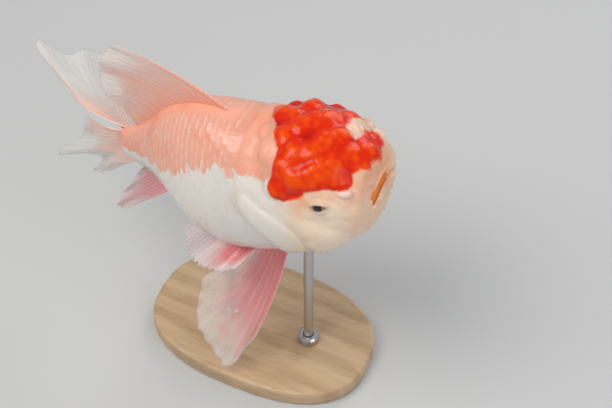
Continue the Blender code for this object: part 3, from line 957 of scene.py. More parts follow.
class Signal:
    """A node's output, from which sums, products and switches make new nodes."""

    def __init__(self, tree: "Tree", socket: NodeSocket) -> None:
        """Wraps an output of a node in a tree."""
        self.tree, self.socket = tree, socket

    def __add__(self, other: Any) -> "Signal":
        """The sum of two numbers."""
        return self.tree.maths("ADD", self, other)

    def __sub__(self, other: Any) -> "Signal":
        """This number less another."""
        return self.tree.maths("SUBTRACT", self, other)

    def __rsub__(self, other: float) -> "Signal":
        """A plain number less this one."""
        return self.tree.maths("SUBTRACT", other, self)

    def __mul__(self, other: Any) -> "Signal":
        """The product of two numbers."""
        return self.tree.maths("MULTIPLY", self, other)

    def sine(self, turns: float) -> "Signal":
        """The sine of so many times this number."""
        return self.tree.maths("SINE", self * turns)

    def step(self, low: float, high: float) -> "Signal":
        """A soft switch that rises from 0 at low to 1 at high."""
        return self.remap((low, high), interpolation_type="SMOOTHSTEP")

    def remap(self, given: Pair, made: Pair = (0, 1), **settings: Any) -> "Signal":
        """Draws the range of numbers that comes in out into the one that goes out."""
        ends = dict(zip(("From Min", "From Max", "To Min", "To Max"), given + made))
        return self.tree.add("ShaderNodeMapRange", {"Value": self, **ends}, **settings)


class Tree:
    """A node tree under construction."""

    def __init__(self, tree: NodeTree) -> None:
        """Wraps a tree."""
        self.tree = tree

    def feed(self, entry: NodeSocket, value: Any) -> None:
        """Gives an input of a node its link, or its plain value; a colour may leave out its alpha."""
        if isinstance(value, Signal):
            self.tree.links.new(value.socket, entry)
        else:
            entry.default_value = (*value, 1) if entry.type == "RGBA" and len(value) == 3 else value

    def node(self, kind: str, inputs: Values | None = None, **settings: Any) -> Node:
        """Adds a node.

        Args:
            kind: The node's type.
            inputs: Its inputs by name or number: a signal to link from, or a plain value.
            **settings: The node's own settings.

        Returns:
            The node.
        """
        node = self.tree.nodes.new(kind)
        for name, value in settings.items():
            setattr(node, name, value)
        for key, value in (inputs or {}).items():
            self.feed(node.inputs[key], value)
        return node

    def outputs(self, kind: str, inputs: Values | None = None, **settings: Any) -> dict[str, Signal]:
        """Adds a node and reads all that it puts out, by name."""
        return {socket.name: Signal(self, socket) for socket in self.node(kind, inputs, **settings).outputs}

    def add(self, kind: str, inputs: Values | None = None, output: Any = 0, **settings: Any) -> Signal:
        """Adds a node and reads one of its outputs, the first unless told otherwise."""
        return Signal(self, self.node(kind, inputs, **settings).outputs[output])

    def maths(self, operation: str, *values: Any, clamp: bool = False) -> Signal:
        """A number worked out from others, kept between 0 and 1 where clamp says so."""
        return self.add("ShaderNodeMath", dict(enumerate(values)), operation=operation, use_clamp=clamp)

    def mix(self, share: Any, first: Any, second: Any, blend: str = "MIX") -> Signal:
        """Mixes two colours, of which the share says how much of the second shows over the first."""
        inputs = {0: share, 6: first, 7: second}
        return self.add("ShaderNodeMix", inputs, 2, data_type="RGBA", blend_type=blend)

    def field(self, name: str) -> Signal:
        """A number kept on the piece's points."""
        return self.add("ShaderNodeAttribute", output="Fac", attribute_name=name)

    def place(self) -> Signal:
        """The point's place in the object's own coordinates."""
        return self.add("ShaderNodeTexCoord", output="Object")

    def stretched(self, vector: Signal, scale: Point) -> Signal:
        """A place drawn together along each axis by its scale."""
        return self.add("ShaderNodeMapping", {"Vector": vector, "Scale": scale})

    def noise(self, vector: Signal, scale: float, detail: float = 3, roughness: float = 0.55) -> Signal:
        """A cloudy pattern, 0 to 1, at a scale in cells for each metre."""
        inputs = {"Vector": vector, "Scale": scale, "Detail": detail, "Roughness": roughness}
        return self.add("ShaderNodeTexNoise", inputs)

    def bump(self, height: Signal, distance: float, strength: float) -> Signal:
        """The normal over a height of which 1 stands out by a distance in metres, at a strength."""
        return self.add("ShaderNodeBump", {"Height": height, "Distance": distance, "Strength": strength})

    def named(self, name: str, kind: str = "FLOAT") -> Signal:
        """A value kept on a geometry's points."""
        return self.add("GeometryNodeInputNamedAttribute", {"Name": name}, data_type=kind)


def new_group(name: str, kind: str, inputs: dict[str, tuple[str, Any]], outputs: dict[str, str]) -> Tree:
    """Starts a node group with named inputs and outputs.

    Args:
        name: The group's name.
        kind: The tree's type.
        inputs: Each input's type of socket and plain value.
        outputs: Each output's type of socket, by name.

    Returns:
        The group's tree.
    """
    group = bpy.data.node_groups.new(name, kind)
    for label, (socket, value) in inputs.items():
        made = group.interface.new_socket(label, in_out="INPUT", socket_type=f"NodeSocket{socket}")
        if value is not None:
            made.default_value = value
    for label, socket in outputs.items():
        group.interface.new_socket(label, in_out="OUTPUT", socket_type=f"NodeSocket{socket}")
    return Tree(group)


def shared(build: Callable[[str], Tree]) -> NodeTree:
    """The node group named after its builder, built the first time it is asked for."""
    name = build.__name__
    return bpy.data.node_groups.get(name) or build(name).tree


def bake_nodes(made: Object, group: NodeTree, values: Values) -> Object:
    """Runs a Geometry Nodes tree on an object and keeps its result as a plain mesh.

    Args:
        made: The object whose mesh the tree works on.
        group: The tree.
        values: The tree's inputs, by name.

    Returns:
        The same object with the finished mesh.
    """
    modifier = made.modifiers.new(group.name, "NODES")
    modifier.node_group = group
    for item in group.interface.items_tree:
        if item.item_type == "SOCKET" and item.in_out == "INPUT" and item.name in values:
            modifier[item.identifier] = values[item.name]
    bpy.context.view_layer.update()
    graph = bpy.context.evaluated_depsgraph_get()
    grown = made.evaluated_get(graph)
    mesh = bpy.data.meshes.new_from_object(grown, preserve_all_data_layers=True, depsgraph=graph)
    made.modifiers.remove(modifier)
    old = made.data
    made.data = mesh
    mesh.name = made.name
    bpy.data.meshes.remove(old)
    return made


# ---- finishes


def fish_markings(name: str) -> Tree:
    """The fish's markings, with painted shade in creases and round the eyes and painted highlights on the
    hood's lobes, which skin and scales share, from the fields kept on both.

    Args:
        name: The group's name.

    Returns:
        The group's tree.
    """
    # The crease, hood deep and lid colours are painted shade; the hood crest colour is a painted highlight.
    colours = {
        **{"Back": (0.96, 0.445, 0.31), "Back Deep": (0.92, 0.30, 0.17), "Flank": (0.86, 0.785, 0.71)},
        **{"Cream": (0.88, 0.695, 0.53), "Blush": (0.87, 0.45, 0.27), "Crease": (0.62, 0.36, 0.24)},
        **{"Hood": (0.78, 0.022, 0.0), "Hood Deep": (0.52, 0.004, 0.0), "Hood Crest": (0.91, 0.075, 0.0)},
        **{"Lip": (0.76, 0.20, 0.010), "Flap": (0.93, 0.72, 0.64), "Lid": (0.36, 0.20, 0.13)},
    }
    inputs = {label: ("Color", (*colour, 1)) for label, colour in colours.items()}
    tree = new_group(name, "ShaderNodeTree", inputs, {"Color": "Color", "Hood Mask": "Float"})
    given = tree.outputs("NodeGroupInput")
    names = ("white", "hood", "head", "lips", "crease", "flap", "lid", "back", "lobe")
    white, hood, head, lips, crease, flap, lid, back, lobe = (tree.field(label) for label in names)
    place = tree.place()
    ragged = (tree.noise(place, 95) - 0.5) * 9.0
    frayed = (tree.noise(place, 420, 4, 0.6) - 0.5) * 3.4
    wander = ragged + frayed

    deep = tree.noise(place, 60, 2).step(0.44, 0.72)
    orange = tree.mix(deep * 0.55, given["Back"], given["Back Deep"])
    blush = (tree.noise(place, 130).step(0.34, 0.66) * 0.6 + 0.35) * hood.step(-10.0, 0.5)
    rosy = tree.maths("ADD", blush, back.step(9.0, 0.0) * 0.45, clamp=True)
    face = tree.mix(rosy, given["Cream"], given["Blush"])
    face = tree.mix(flap * 0.8, face, given["Flap"])
    # Painted shade: a dark ring where the skin turns in at the eye opening.
    face = tree.mix(lid * 0.7, face, given["Lid"])
    pale = tree.mix((back + ragged).step(20.0, 33.0), face, given["Flank"])
    colour = tree.mix((white + wander).step(-0.9, 0.9), orange, pale)

    mask = (hood + wander * 0.42).step(-0.5, 0.9) * head.step(0.15, 0.5)
    # Painted highlight: a lighter red on the tops of the hood's lobes.
    crest = tree.mix(lobe.step(0.5, 0.98), given["Hood"], given["Hood Crest"])
    # Painted shade: darker red in the creases between the hood's lobes.
    colour = tree.mix(mask, colour, tree.mix(crease * 0.85, crest, given["Hood Deep"]))
    colour = tree.mix((lips + frayed * 0.08).step(0.3, 0.75), colour, given["Lip"])
    # Painted shade: a darker tone in the creases between lobes off the hood.
    colour = tree.mix(crease * (1.0 - mask) * 0.4, colour, given["Crease"])
    tree.node("NodeGroupOutput", {"Color": colour, "Hood Mask": mask})
    return tree


def wet_flesh(name: str) -> Tree:
    """The fine pebbling of wet skin, at two scales, and its uneven gloss.

    Args:
        name: The group's name.

    Returns:
        The group's tree.
    """
    inputs = {"Pebble Scale": ("Float", 1050.0), "Dull": ("Float", 0.42), "Glossy": ("Float", 0.24)}
    tree = new_group(name, "ShaderNodeTree", inputs, {"Height": "Float", "Roughness": "Float"})
    given = tree.outputs("NodeGroupInput")
    place = tree.place()
    settings = {"Vector": place, "Scale": given["Pebble Scale"], "Smoothness": 0.8}
    pebble = 1.0 - tree.add("ShaderNodeTexVoronoi", settings, "Distance", feature="SMOOTH_F1")
    height = pebble + tree.noise(place, 2600) * 0.25
    patchy = tree.noise(place, 160).step(0.35, 0.68)
    gloss = given["Dull"] + (given["Glossy"] - given["Dull"]) * patchy
    tree.node("NodeGroupOutput", {"Height": height, "Roughness": gloss})
    return tree


@dataclass(frozen=True)
class Finish:
    """What every finish has: a name and the plain values of its shader."""

    name: str
    coat: float = 0.0
    coat_roughness: float = 0.1
    subsurface: float = 0.0
    subsurface_scale: float = 0.002
    subsurface_radius: Point = (1.0, 0.45, 0.28)
    ior: float = 1.45
    specular: float = 0.5
    metallic: float = 0.0

    def build(self) -> Material:
        """Makes the material.

        Returns:
            The material, with its plain values and with what varies over the surface.
        """
        material = bpy.data.materials.new(self.name)
        material.use_nodes = True
        tree = Tree(material.node_tree)
        inputs = material.node_tree.nodes["Principled BSDF"].inputs
        values = {"Coat Weight": self.coat, "Coat Roughness": self.coat_roughness, "IOR": self.ior}
        values |= {"Specular IOR Level": self.specular, "Metallic": self.metallic}
        if self.subsurface:
            values |= {"Subsurface Weight": self.subsurface, "Subsurface Radius": self.subsurface_radius}
            values["Subsurface Scale"] = self.subsurface_scale
        for name, value in {**values, **self.paint(tree)}.items():
            tree.feed(inputs[name], value)
        return material

    def paint(self, tree: Tree) -> Values:
        """What this finish gives the shader's inputs, by their names, beyond its plain values."""
        return {}


@dataclass(frozen=True)
class SkinFinish(Finish):
    """Wet skin with the fish's markings, its painted shade and its painted highlights."""

    coat: float = 0.22
    coat_roughness: float = 0.12
    subsurface: float = 0.12
    specular: float = 0.24
    hood_slickness: float = 0.45
    hood_coat_loss: float = 0.7

    def paint(self, tree: Tree) -> Values:
        """Skin: its markings with their painted shade and highlights, its pebbling, and a slicker hood with
        less coat.

        Args:
            tree: The material's tree.

        Returns:
            The shader's inputs.
        """
        marks = tree.outputs("ShaderNodeGroup", node_tree=shared(fish_markings))
        flesh = tree.outputs("ShaderNodeGroup", node_tree=shared(wet_flesh))
        hood = marks["Hood Mask"]
        return {
            "Base Color": marks["Color"],
            "Roughness": flesh["Roughness"] * (1.0 - hood * self.hood_slickness),
            "Coat Weight": (1.0 - hood * self.hood_coat_loss) * self.coat,
            "Normal": tree.bump(flesh["Height"], 0.00022, 0.3),
        }


@dataclass(frozen=True)
class ScaleFinish(Finish):
    """Pearly scales that carry the skin's markings, with fine rays, a painted pearly sheen on the rim and
    painted shade at the root.
    """

    coat: float = 0.35
    coat_roughness: float = 0.16
    subsurface: float = 0.1
    specular: float = 0.35
    # How much painted pearly sheen lightens the rim, and its colour.
    rim_share: float = 0.26
    rim_tone: Colour = (0.97, 0.87, 0.81)
    # How much painted shade darkens each scale's root, where the scale before lies over it, and its colour.
    root_share: float = 0.26
    root_tone: Colour = (0.84, 0.54, 0.44)

    def paint(self, tree: Tree) -> Values:
        """A scale: a painted pearly sheen at its rim, painted shade at its root, with rays and rings.

        Args:
            tree: The material's tree.

        Returns:
            The shader's inputs.
        """
        marks = tree.outputs("ShaderNodeGroup", node_tree=shared(fish_markings))
        along, across = tree.field("along"), tree.field("across")
        # Painted pearly sheen: paler along the scale's free rim.
        rim = along.step(0.72, 1.0) * (tree.field("tone") * 0.9 + 0.5)
        pale = tree.mix(rim * self.rim_share, marks["Color"], self.rim_tone)
        # Painted shade: darker at the root, where the scale before lies over it.
        shaded = tree.mix(along.step(0.62, 0.18) * self.root_share, pale, self.root_tone, "MULTIPLY")
        height = across.sine(46.0) * 0.5 + along.sine(34.0) * 0.5
        gloss = tree.noise(tree.place(), 240, 2).remap((0.0, 1.0), (0.2, 0.42))
        return {"Base Color": shaded, "Roughness": gloss, "Normal": tree.bump(height, 0.00002, 0.35)}


@dataclass(frozen=True)
class FinFinish(Finish):
    """A fin's clear skin: coloured at its root, whitish and clearer towards its margin."""

    coat: float = 0.6
    root: Colour = (0.92, 0.40, 0.27)
    middle: Colour = (0.92, 0.55, 0.47)
    margin: Colour = (0.93, 0.86, 0.81)
    leading: Colour = (0.93, 0.42, 0.30)
    root_opacity: float = 0.9
    margin_opacity: float = 0.4
    colour_reach: Pair = (0.08, 0.85)
    streaks: float = 9.0
    streak_share: float = 0.45
    streak_seed: float = 0.0
    main_streak: float = 0.46
    main_width: float = 0.12
    clear_from: float = 2.0

    def paint(self, tree: Tree) -> Values:
        """A fin's skin: its colours outwards, its leading edge, its streaks and its clear rear part.

        Args:
            tree: The material's tree.

        Returns:
            The shader's inputs.
        """
        along, share, ray = (tree.field(name) for name in ("along", "share", "ray"))
        place = tree.place()
        reach = along + (tree.noise(place, 110) - 0.5) * 0.35
        low, high = self.colour_reach
        middle = (low + high) / 2
        colour = tree.mix(reach.step(low, middle), self.root, self.middle)
        colour = tree.mix(reach.step(middle, high), colour, self.margin)
        lead = share.step(0.10, 0.0) * reach.step(1.0, 0.55)
        colour = tree.mix(lead * 0.8, colour, self.leading)
        fan = tree.add("ShaderNodeCombineXYZ", {"X": share, "Y": along * 0.07, "Z": self.streak_seed})
        band = tree.noise(fan, self.streaks, 3, 0.6).step(0.40, 0.62) * reach.step(1.0, 0.35)
        aside = tree.maths("ABSOLUTE", share - self.main_streak)
        main = aside.step(self.main_width, 0.3 * self.main_width) * reach.step(1.02, 0.8)
        tint = tree.maths("MAXIMUM", band, main) * self.streak_share
        colour = tree.mix(tint, colour, self.root)
        clear = share.step(self.clear_from - 0.25, self.clear_from + 0.15)
        colour = tree.mix(clear * 0.7, colour, self.margin)
        dense = reach.remap((0.1, 0.9), (self.root_opacity, self.margin_opacity))
        streak = ray * 0.12 + tint * 0.35
        alpha = tree.maths("ADD", dense, streak + lead * 0.3, clamp=True)
        alpha = alpha * (1.0 - clear * reach.step(0.05, 0.4) * 0.35)
        normal = tree.bump(ray + tree.noise(place, 1500) * 0.4, 0.00012, 0.4)
        return {"Base Color": colour, "Alpha": alpha, "Roughness": 0.33, "Normal": normal}


@dataclass(frozen=True)
class RayFinish(Finish):
    """A fin's jointed rays, strongest in colour at the root and pale at the tips."""

    coat: float = 0.6
    root: Colour = (0.90, 0.34, 0.22)
    tip: Colour = (0.93, 0.80, 0.74)
    joint_tone: Colour = (0.98, 0.86, 0.78)
    root_opacity: float = 1.0
    tip_opacity: float = 0.6
    colour_reach: Pair = (0.2, 0.95)

    def paint(self, tree: Tree) -> Values:
        """A fin's rays: fading outwards, with a pale ring at every joint.

        Args:
            tree: The material's tree.

        Returns:
            The shader's inputs.
        """
        along = tree.field("along")
        cloud = (tree.noise(tree.place(), 120, 2) - 0.5) * 0.4
        joint = along.sine(170.0)
        colour = tree.mix((along + cloud).step(*self.colour_reach), self.root, self.tip)
        colour = tree.mix(joint.step(0.55, 1.0) * 0.25, colour, self.joint_tone)
        alpha = along.remap((0.3, 1.0), (self.root_opacity, self.tip_opacity))
        normal = tree.bump(joint, 0.00003, 0.4)
        return {"Base Color": colour, "Alpha": alpha, "Roughness": 0.3, "Normal": normal}


@dataclass(frozen=True)
class EyeFinish(Finish):
    """A wet eye: black pupil, a narrow bronze iris and a dark rim."""

    coat: float = 1.0
    coat_roughness: float = 0.02
    pupil: float = 0.36
    iris: float = 0.62
    pupil_tone: Colour = (0.004, 0.004, 0.006)
    iris_tones: tuple[Colour, Colour, Colour] = ((0.30, 0.14, 0.03), (0.62, 0.38, 0.10), (0.16, 0.05, 0.01))
    rim_tone: Colour = (0.03, 0.022, 0.02)

    def paint(self, tree: Tree) -> Values:
        """The eye: its colours by the angle from its axis, with threads round the iris.

        Args:
            tree: The material's tree.

        Returns:
            The shader's inputs.
        """
        polar, threads = tree.field("polar"), tree.field("spoke").sine(64.0)
        dark, light, thread = self.iris_tones
        bronze = tree.mix(tree.noise(tree.place(), 1800).step(0.35, 0.7), dark, light)
        bronze = tree.mix(threads.step(0.0, 1.0) * 0.35, bronze, thread)
        ring = tree.mix(polar.step(self.pupil, self.pupil + 0.035), self.pupil_tone, bronze)
        colour = tree.mix(polar.step(self.iris - 0.06, self.iris + 0.03), ring, self.rim_tone)
        return {"Base Color": colour, "Roughness": 0.12, "Normal": tree.bump(threads, 0.00002, 0.2)}


@dataclass(frozen=True)
class OakFinish(Finish):
    """Oiled pale oak with its grain along x, for the base."""

    coat: float = 0.15
    coat_roughness: float = 0.3
    light: Colour = (0.60, 0.42, 0.25)
    dark: Colour = (0.40, 0.25, 0.13)
    pore: Colour = (0.20, 0.11, 0.05)
    honey: Colour = (0.72, 0.50, 0.30)

    def paint(self, tree: Tree) -> Values:
        """Oak: its rings, its grain and its open pores.

        Args:
            tree: The material's tree.

        Returns:
            The shader's inputs.
        """
        place = tree.place()
        grain = tree.noise(tree.stretched(place, (1.0, 9.0, 9.0)), 42, 5, 0.62)
        pores = tree.noise(tree.stretched(place, (1.0, 28.0, 28.0)), 110, 4).step(0.60, 0.70)
        waves = {"Vector": place, "Scale": 26.0, "Distortion": 7.0, "Detail": 3.0, "Detail Scale": 0.6}
        rings = tree.add("ShaderNodeTexWave", waves, "Fac", bands_direction="Y").step(0.35, 0.95)
        shade = tree.maths("ADD", rings * 0.45, grain.step(0.35, 0.75) * 0.5, clamp=True)
        colour = tree.mix(pores * 0.45, tree.mix(shade, self.light, self.dark), self.pore)
        colour = tree.mix(tree.noise(place, 22) * 0.16, colour, self.honey)
        height = grain * 0.4 - pores
        gloss = grain.remap((0.0, 1.0), (0.38, 0.58))
        return {"Base Color": colour, "Roughness": gloss, "Normal": tree.bump(height, 0.00012, 0.5)}


@dataclass(frozen=True)
class SteelFinish(Finish):
    """Steel brushed along its length, for the rods and the ferrules."""

    metallic: float = 1.0
    tone: Colour = (0.60, 0.60, 0.61)
    dark_share: float = 0.8

    def paint(self, tree: Tree) -> Values:
        """Steel: a fine grain in its tone, its gloss and its relief.

        Args:
            tree: The material's tree.

        Returns:
            The shader's inputs.
        """
        brushing = tree.noise(tree.stretched(tree.place(), (1.0, 1.0, 0.03)), 5200)
        colour = tree.mix(brushing, tuple(self.dark_share * part for part in self.tone), self.tone)
        gloss = brushing.remap((0.0, 1.0), (0.22, 0.4))
        return {"Base Color": colour, "Roughness": gloss, "Normal": tree.bump(brushing, 0.00001, 0.3)}


@dataclass(frozen=True)
class PaleFinish(Finish):
    """A plain matt finish with a faint cloud in it, for the ground and the rods' soft cups."""

    tone: Colour = (0.62, 0.62, 0.61)
    cloud_tone: Colour = (0.56, 0.57, 0.58)

    def paint(self, tree: Tree) -> Values:
        """The tone with its faint cloud."""
        cloud = tree.noise(tree.place(), 6, 2) * 0.12
        return {"Base Color": tree.mix(cloud, self.tone, self.cloud_tone), "Roughness": 0.7}


# ---- scales


def grow_scales(name: str) -> Tree:
    """The Geometry Nodes tree that puts a blade on every root and keeps its patch on the map.

    Args:
        name: The tree's name.

    Returns:
        The tree.
    """
    inputs = {"Roots": ("Geometry", None), "Blade": ("Object", None), "Finish": ("Material", None)}
    inputs["Patch Size"] = ("Float", 0.003)
    tree = new_group(name, "GeometryNodeTree", inputs, {"Coat": "Geometry"})
    given = tree.outputs("NodeGroupInput")
    blade = tree.add("GeometryNodeObjectInfo", {"Object": given["Blade"], "As Instance": True}, "Geometry")
    turn = tree.add("FunctionNodeEulerToRotation", {0: tree.named("turn", "FLOAT_VECTOR")})
    size = tree.named("size", "FLOAT_VECTOR")
    planting = {"Points": given["Roots"], "Instance": blade, "Rotation": turn, "Scale": size}
    placed = tree.add("GeometryNodeInstanceOnPoints", planting)
    real = tree.add("GeometryNodeRealizeInstances", {"Geometry": placed})
    sides = {"X": tree.named("across") * 0.5, "Y": tree.named("along") - 0.5}
    spread = {0: tree.add("ShaderNodeCombineXYZ", sides), "Scale": given["Patch Size"]}
    ends = {0: tree.add("ShaderNodeVectorMath", spread, operation="SCALE")}
    ends[1] = tree.named("map_place", "FLOAT_VECTOR")
    spot = tree.add("ShaderNodeVectorMath", ends, operation="ADD")
    keeping = {"Geometry": real, "Name": BAKE_MAP, "Value": spot}
    mapped = tree.add("GeometryNodeStoreNamedAttribute", keeping, data_type="FLOAT2", domain="CORNER")
    smooth = tree.add("GeometryNodeSetShadeSmooth", {0: mapped})
    dressed = tree.add("GeometryNodeSetMaterial", {"Geometry": smooth, "Material": given["Finish"]})
    tree.node("NodeGroupOutput", {"Coat": dressed})
    return tree


@dataclass
class ScaleCoat:
    """The overlapping scales of trunk and tail stem, rooted in staggered rings."""

    frame: FishFrame
    shape: BodyShape
    skin: Skin
    rings: int = 27
    around: int = 38
    crowding: float = 0.92
    first_ring: float = 0.35
    rear_gap: float = 1.2
    length_share: float = 2.25
    width_share: float = 1.16
    least_width: float = 1.1
    turn_degrees: float = 1.6
    tilt_degrees: float = 0.375
    growth_spread: float = 0.03
    lift_share: float = 0.052
    root_share: float = 0.018
    thickness_share: float = 0.010
    least_relief: float = 1.15
    relief_share: float = 0.42
    blade_columns: int = 6
    blade_rows: int = 4
    blade_arch: float = 0.03
    patch: float = 0.003
    map_start: float = 30.0
    map_range: Pair = (0.42, 0.56)
    off_hood: float = -9.0
    white_share: float = 0.4
    seed: int = 3
    edge: Curve = Curve(
        (0, 42.6), (40, 44.5), (60, 45.4), (72, 43.6), (80, 40.8), (92, 36), (106, 32), (135, 29.2), (180, 28)
    )

    def build(self, material: Material) -> Object:
        """Grows every scale from its root.

        Args:
            material: The scales' finish.

        Returns:
            The coat, one joined mesh.
        """
        blade = self.blade()
        values = {"Blade": blade, "Finish": material, "Patch Size": self.patch}
        coat = bake_nodes(self.roots(), shared(grow_scales), values)
        bpy.data.objects.remove(blade)
        return coat

    def blade(self) -> Object:
        """One scale of length 1 and width 1: its root at x = 0, its rounded free edge at x = 1.

        Returns:
            A helper object, removed once the coat is made.
        """
        rows, columns = self.blade_rows, self.blade_columns
        shape = bmesh.new()
        along, across = (shape.verts.layers.float.new(name) for name in ("along", "across"))
        upper, lower = [], []
        for made, depth in ((upper, 0.0), (lower, self.thickness_share)):
            for i in range(rows + 1):
                for j in range(columns + 1):
                    y, t = j / columns * 2 - 1, i / rows
                    x = t * (0.80 + 0.20 * math.sqrt(1 - y * y))
                    width = 0.5 * (0.72 + 0.28 * math.sin(min(1.0, t * 1.5) * math.pi / 2))
                    z = self.lift_share * x - self.root_share - self.blade_arch * y * y - depth
                    vertex = shape.verts.new((x, y * width, z))
                    vertex[along], vertex[across] = x, y
                    made.append(vertex)
        wide = columns + 1
        for corner in (i * wide + j for i in range(rows) for j in range(columns)):
            shape.faces.new([upper[corner + k] for k in (0, wide, wide + 1, 1)])
        rim = rim_of(rows, columns)
        for a, b in zip(rim, rim[1:] + rim[:1]):
            shape.faces.new([upper[a], upper[b], lower[b], lower[a]])
            shape.edges.get((upper[a], upper[b])).smooth = False
        shape.faces.new([lower[k] for k in rim])
        loose = [vertex for vertex in lower if not vertex.link_faces]
        bmesh.ops.delete(shape, geom=loose, context="VERTS")
        bmesh.ops.recalc_face_normals(shape, faces=shape.faces)
        return finished(shape, "scale_blade", smooth=False)

    def roots(self) -> Object:
        """Sets out the roots, with each scale's turn, size, place on the map and markings.

        Returns:
            An object with one point for each scale.
        """
        chance = np.random.default_rng(self.seed)
        end = self.shape.stem_tip - self.rear_gap
        gap = 2 * math.pi / self.around
        map_low, map_high = self.map_range
        backs, angles, places, turns, sizes, maps = [], [], [], [], [], []
        for i in range(self.rings):
            share = ((i + self.first_ring) / self.rings) ** self.crowding
            step = self.crowding * share ** (1 - 1 / self.crowding) / self.rings
            for j in range(self.around):
                angle = (j + 0.5 * (i % 2)) * gap - math.pi
                start = float(self.edge(abs(math.degrees(angle))))
                back = start + (end - start) * share
                matrix, length, width = self.lie(back, angle, step * (end - start), gap)
                turn, tilt, growth = chance.normal(0, 1, 3)
                matrix = matrix @ Matrix.Rotation(math.radians(self.turn_degrees * turn), 3, "Z")
                matrix = matrix @ Matrix.Rotation(math.radians(self.tilt_degrees * tilt), 3, "Y")
                grow = 1 + self.growth_spread * growth
                backs.append(back)
                angles.append(angle)
                places.append(self.shape.over(np.array(back), np.array(angle), -self.skin.coat_depth))
                turns.append(tuple(matrix.to_euler("XYZ")))
                sizes.append((length * grow, width * grow, self.least_relief + self.relief_share * width))
                up = map_low + map_high * (back - self.map_start) / (end - self.map_start)
                maps.append((angle / (2 * math.pi) + 0.5, up, 0))
        mesh = mesh_from("fish_scales", self.frame.to_world(np.array(places)))
        backs, degrees = np.array(backs), np.abs(np.degrees(np.array(angles)))
        marks = dict.fromkeys(("head", "lips", "crease", "flap", "lobe", "lid"), np.zeros(len(places)))
        marks["hood"] = marks["head"] + self.off_hood
        marks["white"] = (degrees - self.skin.white_edge(backs)) * self.white_share
        marks |= {"back": backs, "tone": chance.uniform(0, 1, len(places))}
        marks |= {"turn": np.array(turns), "size": np.array(sizes) * MM, "map_place": np.array(maps)}
        for name, values in marks.items():
            store(mesh, name, values)
        return new_object("fish_scales", mesh)

    def lie(self, back: float, angle: float, step: float, gap: float) -> tuple[Matrix, float, float]:
        """How one scale lies.

        Args:
            back: Its root's distance behind the mouth.
            angle: Its root's angle in radians.
            step: The distance to the next ring.
            gap: The angle between neighbours in a ring.

        Returns:
            Its turn into the world, its length and its width.
        """
        shape = self.shape
        here, place = np.array(back), np.array(angle)
        reach, turn = 0.2, 0.02
        along = shape.place(here + reach, place) - shape.place(here - reach, place)
        beside = shape.place(here, place + turn) - shape.place(here, place - turn)
        length = np.linalg.norm(along) / (2 * reach) * step * self.length_share
        width = np.linalg.norm(beside) / (2 * turn) * gap * self.width_share
        tip = shape.place(np.minimum(here + length, shape.stem_tip - 0.1), place)
        rearward = unit(tip - shape.place(here, place))
        outward = shape.normal(here, place)
        outward = unit(outward - rearward * (rearward @ outward))
        axes = self.frame.turn @ np.stack((rearward, np.cross(outward, rearward), outward), axis=-1)
        return Matrix(axes.tolist()), float(length), float(max(width, self.least_width))


# ---- fins


class FinKind(Enum):
    """The fins' colourings."""

    DORSAL = "dorsal"
    TAIL = "tail"
    PECTORAL = "pectoral"
    PELVIC = "pelvic"
    ANAL = "anal"


def grow_rays(name: str) -> Tree:
    """The Geometry Nodes tree that gives the rays' lines their girth and joins them to the skin.

    Args:
        name: The tree's name.

    Returns:
        The tree.
    """
    inputs = {"Skin": ("Geometry", None), "Ray Paths": ("Object", None), "Ray Sides": ("Int", 6)}
    inputs |= {"Skin Finish": ("Material", None), "Ray Finish": ("Material", None)}
    tree = new_group(name, "GeometryNodeTree", inputs, {"Fin": "Geometry"})
    given = tree.outputs("NodeGroupInput")
    paths = tree.add("GeometryNodeObjectInfo", {"Object": given["Ray Paths"]}, "Geometry")
    lines = tree.add("GeometryNodeMeshToCurve", {"Mesh": paths})
    ring = tree.add("GeometryNodeCurvePrimitiveCircle", {"Resolution": given["Ray Sides"], "Radius": 1.0})
    sweep = {"Curve": lines, "Profile Curve": ring, "Scale": tree.named("girth"), "Fill Caps": True}
    smooth = tree.add("GeometryNodeSetShadeSmooth", {0: tree.add("GeometryNodeCurveToMesh", sweep)})
    dressed = tree.add("GeometryNodeSetMaterial", {"Geometry": smooth, "Material": given["Ray Finish"]})
    skin = tree.add("GeometryNodeSetMaterial", {"Geometry": given["Skin"], "Material": given["Skin Finish"]})
    joined = tree.node("GeometryNodeJoinGeometry")
    for part in (skin, dressed):
        tree.feed(joined.inputs[0], part)
    real = tree.add("GeometryNodeRealizeInstances", {"Geometry": Signal(tree, joined.outputs[0])})
    tree.node("NodeGroupOutput", {"Fin": real})
    return tree


